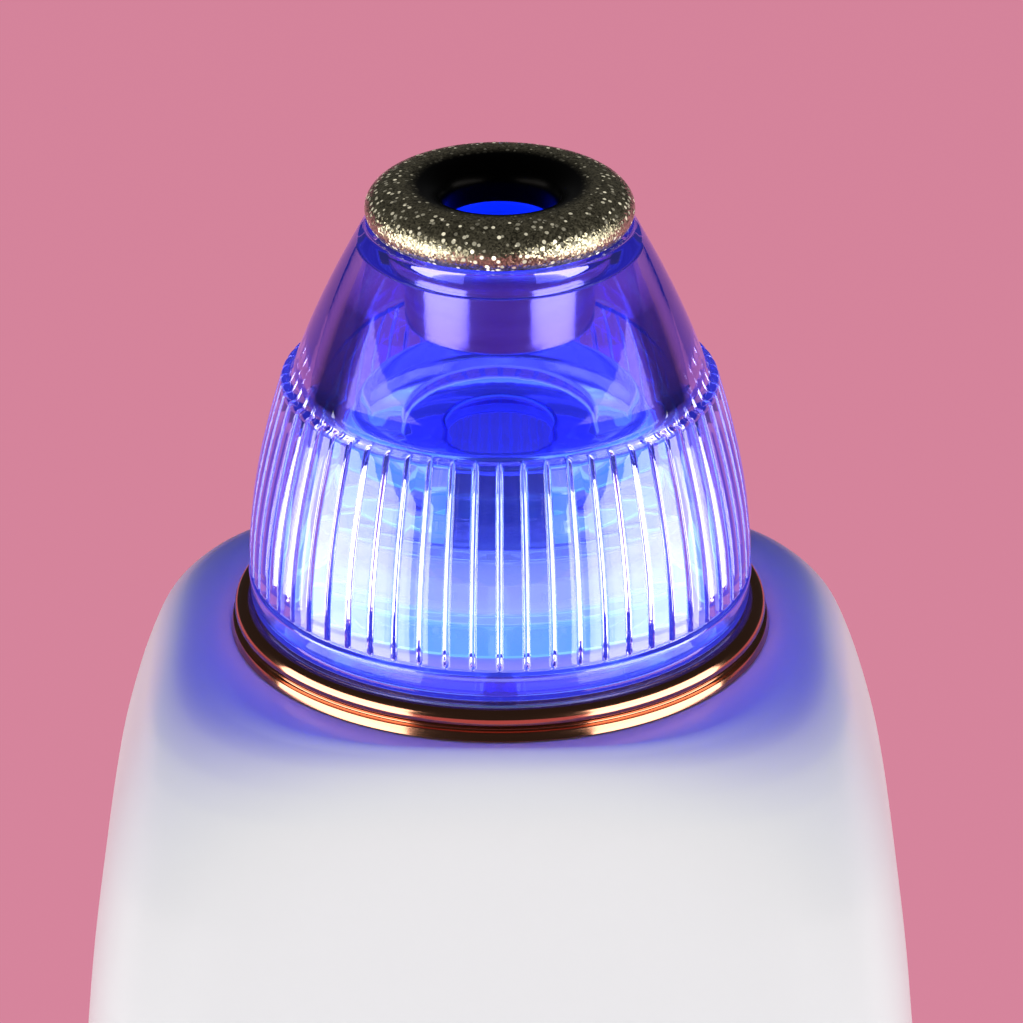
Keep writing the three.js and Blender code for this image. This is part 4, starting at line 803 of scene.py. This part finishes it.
@dataclass
class ClearHead:
    """The clear head: grip ribs round a bowed skirt, and a cone with the tip's seat in its top."""

    foot_radius: float = 13.95
    shoulder_radius: float = 12.05
    skirt_height: float = 13.3
    skirt_swell: float = 0.75
    cone_foot: float = 11.6
    cone_top: float = 7.48
    cone_swell: float = 0.25
    height: float = 22.3
    wall: float = 1.6
    socket: float = 5.5
    socket_height: float = 20.1
    # Height of the collar's underside, and the wall there
    collar: Pair = (20.9, 1.1)
    ribs: int = 60
    groove: float = 0.36
    crown: float = 0.05

    # Places across one rib, from one groove's middle to the next
    ACROSS = np.array([0.0, 0.045, 0.085, 0.125, 0.18, 0.27, 0.4, 0.5, 0.6, 0.73, 0.82, 0.875, 0.915, 0.955])
    # Radius and height along the smooth band at the foot and the seam above it
    BAND = (
        (13.65, 0.0), (13.86, 0.03), (13.98, 0.12), (14.02, 0.28), (14.04, 0.9), (14.1, 1.45), (14.12, 1.6),
        (14.06, 1.72), (13.95, 1.8), (13.93, 1.88), (14.06, 1.97),
    )

    def skirt(self, rise: Array | float) -> Array:
        """Skirt radius: a straight taper with a bow that is fuller near the foot."""
        share = rise / self.skirt_height
        straight = self.foot_radius + (self.shoulder_radius - self.foot_radius) * share
        return straight + self.skirt_swell * 4 * share * (1 - share) * (1 - share / 3)

    def cone(self, rise: Array | float) -> Array:
        """Cone radius: a straight taper with a slight even bow."""
        share = (rise - self.skirt_height) / (self.height - self.skirt_height)
        straight = self.cone_foot + (self.cone_top - self.cone_foot) * share
        return straight + self.cone_swell * 4 * share * (1 - share)

    def outside(self) -> tuple[Array, Array]:
        """Gives the outer line and how strongly the ribs show along it.

        The rib share rises over a quarter millimetre above the band, and falls as the skirt's
        rounded shoulder runs in to the cone.
        """
        brow = self.skirt_height
        rise = np.linspace(2.1, brow - 0.35, 40)
        top = self.skirt(rise[-1])
        shoulder = [
            [top - 0.04, brow - 0.22], [top - 0.14, brow - 0.1], [top - 0.28, brow - 0.03],
            [self.cone_foot + 0.1, brow], [self.cone_foot + 0.02, brow + 0.06],
        ]
        climb = np.linspace(brow + 0.15, self.height - 0.3, 26)
        rim = np.array([self.cone_top, self.height]) - [[0.03, 0.14], [0.12, 0.04], [0.28, 0.0]]
        skirt, cone = np.stack([self.skirt(rise), rise], axis=1), np.stack([self.cone(climb), climb], axis=1)
        shown = [np.zeros(10), [0.5], np.ones(40), [1.0, 0.9, 0.6, 0.1, 0.0], np.zeros(29)]
        return np.vstack([self.BAND, skirt, shoulder, cone, rim]), np.concatenate(shown)

    def inside(self) -> Array:
        """Runs down the tip's seat, out under the collar, and down the cone's and skirt's walls."""
        top, thin = self.collar
        seat = [
            [self.socket + 0.3, self.height], [self.socket, self.height - 0.3],
            [self.socket, self.socket_height + 0.3], [self.socket + 0.35, self.socket_height],
            [self.cone(top) - thin, top], [self.cone(top - 1) - thin - 0.07, top - 1],
        ]
        fall = np.linspace(top - 1.4, self.skirt_height + 0.4, 12)
        share = (fall - self.skirt_height) / (top - self.skirt_height)
        cone = np.stack([self.cone(fall) - self.wall + (self.wall - thin) * share, fall], axis=1)
        drop = np.linspace(self.skirt_height - 1.6, 0.35, 14)
        skirt = np.stack([self.skirt(drop) - self.wall, drop], axis=1)
        foot = [[self.skirt(0.2) - self.wall + 0.05, 0.12], [self.foot_radius - self.wall + 0.2, 0.0]]
        return np.vstack([fillet(seat, 0.16, closed=False), cone, skirt, foot])

    def build(self) -> None:
        """Wraps the line round the axis and presses the grooves into its outside.

        The pad share is 0 in a groove's middle and climbs smoothly to 1 over an eighth of a rib.
        A rib's radius drops by the groove's depth where the share is 0, and rises by a slight
        crown that is one less the square of the distance from the rib's middle.
        """
        outer, shown = self.outside()
        line = np.vstack([outer, self.inside()])
        press = np.pad(shown, (0, len(line) - len(outer)))[:, None]
        place = np.tile(self.ACROSS, self.ribs)[None, :]
        angle = (np.repeat(np.arange(self.ribs), len(self.ACROSS)) + place) * TURN / self.ribs
        edge = np.clip(np.minimum(place, 1 - place) / 0.125, 0, 1)
        pad = edge**2 * (3 - 2 * edge)
        shape = -self.groove * (1 - pad) + self.crown * (1 - (2 * place - 1) ** 2) * pad
        grid = turned(line[:, :1] + press * shape, angle, HEAD_FOOT + line[:, 1:])
        Piece("head_skin", grid, "head", Slot.CLEAR_PLASTIC, "clear_head", [CLEAR_HEAD], shadow=False).build()


@dataclass
class DiamondTip:
    """The tip: a grit-coated rim round a wide funnel, on a polished sleeve with an O-ring."""

    # Radius and height of the rim's middle, and its half width and half height
    rim: tuple[float, float, float, float] = (5.25, 23.25, 2.15, 1.47)
    throat: float = 3.05
    throat_low: float = 22.2
    bore: float = 4.4
    sleeve: float = 5.3
    sleeve_foot: float = 16.5
    # Radius of the groove's floor, and its lowest and highest height
    groove: Triple = (4.88, 20.7, 21.6)
    seat: float = 22.4
    ring: float = 0.25

    def profile(self) -> Array:
        """Follows the sleeve up, round the rim's ellipse and through the throat into the bore."""
        middle, height, half_wide, half_high = self.rim
        swing = np.radians(np.linspace(-33, 176, 52))
        rim = arc(middle, height, half_wide, half_high, swing)
        floor, low, high = self.groove
        sleeve = [
            [self.bore, self.sleeve_foot], [self.sleeve, self.sleeve_foot], [self.sleeve, low],
            [floor, low], [floor, high], [self.sleeve, high], [self.sleeve, self.seat],
            [rim[0, 0] - 0.12, self.seat],
        ]
        funnel = [
            [self.throat + 0.05, height], [self.throat, self.throat_low],
            [self.bore, self.throat_low - 1.1], [self.bore, self.sleeve_foot],
        ]
        sleeve = fillet(sleeve, [0.1, 0.2, 0.06, 0.06, 0.06, 0.06, 0.1, 0.0], closed=False)
        funnel = fillet(funnel, [0, 0.3, 0.3, 0], closed=False)
        return filled(np.vstack([sleeve, rim, funnel[1:]]), 0.5)[:-1] + [0.0, HEAD_FOOT]

    def pick(self, centre: Array) -> Array:
        """Picks grit, steel for the sleeve, black nickel for the throat or the bore's lit steel."""
        radius, height = np.hypot(centre[:, 0], centre[:, 1]), centre[:, 2] - HEAD_FOOT
        sleeve = (radius > self.bore + 0.3) & (height < self.seat + 0.02)
        bore = (radius < self.bore + 0.2) & (height < self.throat_low + 0.1)
        steel = sleeve | (height < self.throat_low)
        return np.select([bore, steel, radius < self.throat + 0.4], [3, 1, 2], 0)

    def build(self) -> None:
        """Builds the tip and its O-ring."""
        finishes = [GRIT, POLISHED_STEEL, BLACK_NICKEL, BORE_PAINTED_BLUE_LIGHT]
        skin = lathe(self.profile(), 288)
        Piece("tip_skin", skin, "tip", Slot.GRIT_COAT, "diamond_tip", finishes, pick=self.pick).build()
        floor, low, high = self.groove
        ring = lathe(arc(floor + 0.3, HEAD_FOOT + (low + high) / 2, self.ring, self.ring, around(16)))
        Piece("o_ring_skin", ring, "tip", Slot.SILICONE, "tip_o_ring").build()


@dataclass
class NozzleBowl:
    """The clear bowl under the tip: a stepped drum, a dished rim, the filter's well and a barb."""

    # Radius, and lowest and highest height: of the flange, and of the seal's groove above the foot
    flange: Triple = (14.4, 136.5, 137.7)
    seal: Triple = (10.95, 0.55, 1.75)
    screw_circle: float = 13.1
    notch_place: float = 15.5

    def profile(self) -> Array:
        """Follows the barb, stem, lamp recess, flange, stepped drum, rim, dish and well."""
        wide, low, high = self.flange
        floor, seal_low, seal_high = self.seal
        below = [
            [0.9, 127.6], [1.6, 127.6], [1.6, 133.0], [3.8, 133.0], [3.8, low], [6.8, low],
            [6.8, low + 3.0], [10.8, low + 3.0], [10.8, low], [wide, low], [wide, high], [11.6, high],
        ]
        above = [
            [11.6, seal_low], [floor, seal_low], [floor, seal_high], [11.6, seal_high], [11.6, 3.7],
            [10.5, 3.7], [10.5, 6.9], [9.2, 6.9], [9.2, 8.6], [8.1, 11.7], [7.55, 11.7], [5.4, 10.5],
            [5.4, 9.95], [3.02, 9.95], [3.02, 3.0], [0.9, 3.0],
        ]
        rounding = [0.1] * 16 + [0.3, 0.25, 0.3, 0.25, 0.3, 0.35, 0.3, 0.35, 0.2, 0.25, 0.2, 0.1]
        rounded = fillet(np.vstack([below, above + np.array([0.0, HEAD_FOOT])]), rounding)
        return filled(np.vstack([rounded, rounded[:1]]), 0.8)[:-1]

    def build(self) -> None:
        """Builds the bowl with its notches and screw holes, the seal and the filter."""
        _, low, high = self.flange
        cut = partial(rod_tool, low=low - 1, high=high + 0.05)
        cuts = [cut(2.7, x=side * self.notch_place) for side in SIDES]
        for angle in TURN / 4 + np.arange(3) * TURN / 3:
            x, y = self.screw_circle * math.cos(angle), self.screw_circle * math.sin(angle)
            cuts.append(cut(0.9, x=x, y=y))
        bowl = Piece("bowl_skin", lathe(self.profile(), 240), "root", Slot.CLEAR_PLASTIC, "nozzle_bowl")
        bowl.finishes, bowl.cuts, bowl.shadow = [LIGHT_GUIDE], cuts, False
        bowl.build()
        seal = lathe(arc(11.55, HEAD_FOOT + 1.15, 0.55, 0.55, around(20)))
        Piece("head_seal_skin", seal, "root", Slot.SILICONE, "head_seal", shadow=False).build()
        disc = lathe(np.array([[2.57, 144.95], [2.82, 145.15], [2.82, 148.95], [2.57, 149.15]]), 96)
        Piece("filter_skin", disc, "filter", Slot.FELT, "felt_filter", loop=False, shadow=False).build()


@dataclass
class LampBoard:
    """The round board of six lamps under the bowl."""

    inner: float = 4.6
    outer: float = 11.4
    low: float = 135.2
    high: float = 136.4

    def build(self) -> None:
        """Builds the board."""
        inner, outer, low, high = self.inner, self.outer, self.low, self.high
        board = lathe(fillet([[inner, low], [outer, low], [outer, high], [inner, high]], 0.06), 144)
        Piece("lamp_board_skin", board, "root", Slot.BOARD, "lamp_board", [WHITE_MASK]).build()


@dataclass
class FrontKeys:
    """Buttons, the power button's trim and the level lights on the front."""

    power_height: float = 96.0
    level_height: float = 60.0
    light_heights: tuple[float, ...] = (73.0, 78.0, 83.0)
    dish_edge: float = 0.7

    def holes(self) -> list[Pair]:
        """Height and radius of each hole in the front wall."""
        return [(self.power_height, 7.35), (self.level_height, 4.7), *((z, 1.35) for z in self.light_heights)]

    def button(self, node: str, radius: float, dish: float) -> Array:
        """A cap with a shallow round dish, its flange behind the wall and its stem.

        The dish is a parabola of the radius, deepest in the middle.

        Args:
            node: the button's node, which gives its place and its flange.
            radius: the cap's radius.
            dish: depth of the dish in its middle.
        """
        (left, face, low), (right, back, high) = solid_box(node)
        flange, hold, rim = (right - left) / 2, back - 1.5, radius - self.dish_edge
        reach = np.linspace(0.02, rim, 14)
        front = np.stack([reach, face + dish * (1 - (reach / rim) ** 2)], axis=1)
        side = [
            [rim, face], [radius, face], [radius, hold - 0.8], [flange, hold - 0.8], [flange, hold],
            [1.5, hold], [1.5, back], [0.02, back],
        ]
        side = fillet(side, [0.1, 0.55, 0.1, 0.1, 0.1, 0.1, 0.2, 0], closed=False)
        return lathe_along_y(np.vstack([front[:-1], side]), 0.0, (high + low) / 2, 120)

    def trim(self) -> Array:
        """The rose gold sleeve round the power button, with a rounded lip over the wall."""
        (left, face, _), (right, back, _) = solid_box("power_trim")
        wide = (right - left) / 2
        corners = [
            [6.3, face + 0.1], [6.6, face], [wide - 0.3, face], [wide, face + 0.2], [wide, face + 0.46],
            [7.2, face + 0.46], [7.2, back], [6.3, back],
        ]
        return lathe_along_y(fillet(corners, [0.1, 0.2, 0.3, 0.12, *[0.05] * 4]), 0.0, self.power_height, 160)

    def build(self) -> None:
        """Builds both buttons, the trim and the three light pipes."""
        for key, radius, dish in (("power", 6.0, 0.4), ("level", 4.4, 0.25)):
            node = f"{key}_button"
            grid = self.button(node, radius, dish)
            Piece(f"{node}_skin", grid, key, Slot.WHITE_ABS, node, loop=False).build()
        Piece("power_trim_skin", self.trim(), "root", Slot.ROSE_GOLD, "power_trim").build()
        for i, height in enumerate(self.light_heights, 1):
            node = f"level_light_{i}"
            (_, face, _), (_, back, _) = solid_box(node)
            corners = [[0.02, face], [1.2, face], [1.2, back], [0.02, back]]
            grid = lathe_along_y(fillet(corners, [0, 0.25, 0.1, 0], closed=False), 0.0, height, 64)
            Piece(f"level_light_skin_{i}", grid, "root", Slot.CLEAR_PLASTIC, node, loop=False).build()


def solid_box(node: str) -> Array:
    """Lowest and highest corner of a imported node, in millimetres."""
    return np.array(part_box(node)) / MM


def dress_works() -> None:
    """Gives every node behind the walls that still shows its material slot's finish."""
    dressed = 0
    for row in frame["record"]["subparts"]:
        node = frame["nodes"][row["node"]]
        if not node.hide_render:
            node.data.materials.clear()
            node.data.materials.append(Slot[row["material_slot"].upper()].value.material())
            dressed += 1
    LOG.info("works: %d carried-over nodes dressed", dressed)


def hang(data: bpy.types.ID, place: Sequence[float], aim: Sequence[float]) -> Thing:
    """Makes an object of a lamp or camera at a place in metres, facing another."""
    made = bpy.data.objects.new(data.name, data)
    made.location = place
    made.rotation_euler = (Vector(aim) - Vector(place)).to_track_quat("-Z", "Y").to_euler()
    bpy.context.scene.collection.objects.link(made)
    return made


@dataclass
class InnerLamps:
    """The light that the device's own blue lamps throw out through the head on to the plateau.

    The lamps hang in one oval and aim at another on the plateau, each given by its half sizes.
    """

    oval: Pair = (20.0, 9.0)
    ahead: float = 4.5
    height: float = 166.0
    target: Pair = (26.0, 15.0)
    count: int = 12
    soft: float = 2.0
    spread: float = 130.0
    watts: float = 0.0035
    colour: str = "3A3CFF"

    def build(self) -> None:
        """Hangs small soft lamps in an oval, aimed out and down, and keeps them out of reflections."""
        for i, angle in enumerate(around(self.count), 1):
            data = bpy.data.lights.new(f"inner_lamp_{i}", "SPOT")
            data.energy, data.color = self.watts, linear(self.colour)[:3]
            data.shadow_soft_size = self.soft * MM
            data.spot_size, data.spot_blend = math.radians(self.spread), 1.0
            place, target = (
                Vector((oval[0] * math.cos(angle), oval[1] * math.sin(angle) - self.ahead, height)) * MM
                for oval, height in ((self.oval, self.height), (self.target, PLATEAU))
            )
            lamp = hang(data, place, target)
            lamp.visible_camera = lamp.visible_glossy = lamp.visible_transmission = False


class Rays(Enum):
    """Which light of a lamp arrives: on matt surfaces, in mirror images and through clear walls."""

    DIFFUSE = (True, False, False)
    SHINE = (False, True, True)


@dataclass
class Studio:
    """A plain pale floor, soft lamps at both sides of the front and the camera."""

    floor_colour: str = "DA879F"
    bounce_colour: str = "BEBEBE"
    reach: float = 1.2
    floor_light: float = 0.94
    surround: str = "C8C8CC"
    surround_light: float = 0.06
    camera_place: Triple = (0.64, -291.3, 286.2)
    target: Triple = (0.64, 0.0, 146.65)
    lens: float = 203.0

    def floor(self) -> None:
        """Lays one large pale sheet that partly shines by itself, so that it is even.

        What it throws back on the device is grey, so that the white stays white.
        """
        grid = np.array([[-1, -1, 0], [1, -1, 0], [1, 1, 0], [-1, 1, 0]]) * self.reach
        mesh = bpy.data.meshes.new("floor")
        mesh.from_pydata(grid.tolist(), [], [(0, 1, 2, 3)])
        sheet = bpy.data.objects.new("floor", mesh)
        bpy.context.scene.collection.objects.link(sheet)
        material = blank_material("painted_studio_board")
        add = partial(add_node, material.node_tree)
        path = add("LightPath").outputs
        seen = add("Math", path["Is Camera Ray"], path["Is Transmission Ray"], operation="MAXIMUM")
        seen = add("Math", seen, path["Is Glossy Ray"], operation="MAXIMUM")
        colour = linear(self.floor_colour)
        paint = add("Mix", seen, linear(self.bounce_colour), colour, **RGBA)
        light = add("Math", seen, self.floor_light, **TIMES)
        shine = add("Emission", colour, 1.0)
        add("OutputMaterial", add("MixShader", light, add("BsdfDiffuse", paint), shine))
        mesh.materials.append(material)

    @staticmethod
    def softbox(name: str, place: Triple, aim: Triple, size: Pair, watts: float, rays: Rays) -> None:
        """Hangs one white rectangular lamp.

        Args:
            name: its name.
            place: its middle, in metres.
            aim: the point that it faces.
            size: its width and height.
            watts: its power.
            rays: what it lights.
        """
        data = bpy.data.lights.new(name, "AREA")
        data.shape, data.size, data.size_y, data.energy = "RECTANGLE", *size, watts
        lamp = hang(data, place, aim)
        lamp.visible_camera = False
        lamp.visible_diffuse, lamp.visible_glossy, lamp.visible_transmission = rays.value

    @staticmethod
    def keep_to(lamp_end: str, pieces: Sequence[str]) -> None:
        """Lets both lamps of one pair reach only the named pieces, so that the white stays plain."""
        reached = bpy.data.collections.new(lamp_end)
        for piece in pieces:
            reached.objects.link(bpy.data.objects[piece])
        for side in ("left", "right"):
            bpy.data.objects[f"{side}_{lamp_end}"].light_linking.receiver_collection = reached

    def world(self) -> None:
        """Makes a dim even grey surround."""
        world = bpy.data.worlds.new("studio")
        world.use_nodes = True
        background = world.node_tree.nodes["Background"].inputs
        background["Color"].default_value = linear(self.surround)
        background["Strength"].default_value = self.surround_light
        bpy.context.scene.world = world

    def camera(self) -> None:
        """Sets the camera at the photographed angle."""
        data = bpy.data.cameras.new("camera")
        data.lens, data.sensor_width = self.lens, 36.0
        data.clip_start, data.clip_end = 0.01, 20.0
        place, target = (Vector(point) * MM for point in (self.camera_place, self.target))
        bpy.context.scene.camera = hang(data, place, target)

    def build(self) -> None:
        """Sets the floor, lamps, world and camera."""
        self.floor()
        for name, side in (("left", -1), ("right", 1)):
            x, y = side * 0.235, -0.095
            for end, place, aim, size, watts, rays in (
                ("fill", (x, y, 0.035), 0.06, (0.31, 0.07), 0.25, Rays.DIFFUSE),
                ("back_fill", (side * 0.25, 0.12, 0.05), 0.08, (0.25, 0.1), 0.43, Rays.DIFFUSE),
                ("low_shine", (x, y, 0.082), 0.082, (0.31, 0.16), 0.85, Rays.SHINE),
                ("high_shine", (x, y, 0.215), 0.18, (0.31, 0.1), 0.5, Rays.SHINE),
            ):
                self.softbox(f"{name}_{end}", place, (0.0, 0.0, aim), size, watts, rays)
        self.softbox("front_fill", (0.0, -0.7, 0.16), (0.0, 0.0, 0.12), (1.0, 0.11), 3.75, Rays.DIFFUSE)
        self.world()
        self.camera()
        bpy.context.scene.view_settings.view_transform = "Standard"


def main() -> None:
    """Builds the studio and the device's sub-assemblies."""
    logging.basicConfig(level=logging.INFO, format="%(message)s")
    Studio().build()
    keys = FrontKeys()
    Body().build(keys.holes())
    for part in (BezelRing(), ClearHead(), DiamondTip(), NozzleBowl(), LampBoard(), keys):
        part.build()
    dress_works()
    InnerLamps().build()
    metals = ["bezel_skin", "tip_skin", "power_trim_skin"]
    Studio.keep_to("high_shine", metals)
    Studio.keep_to("low_shine", [*metals, "head_skin", "bowl_skin"])


if __name__ == "__main__":
    main()
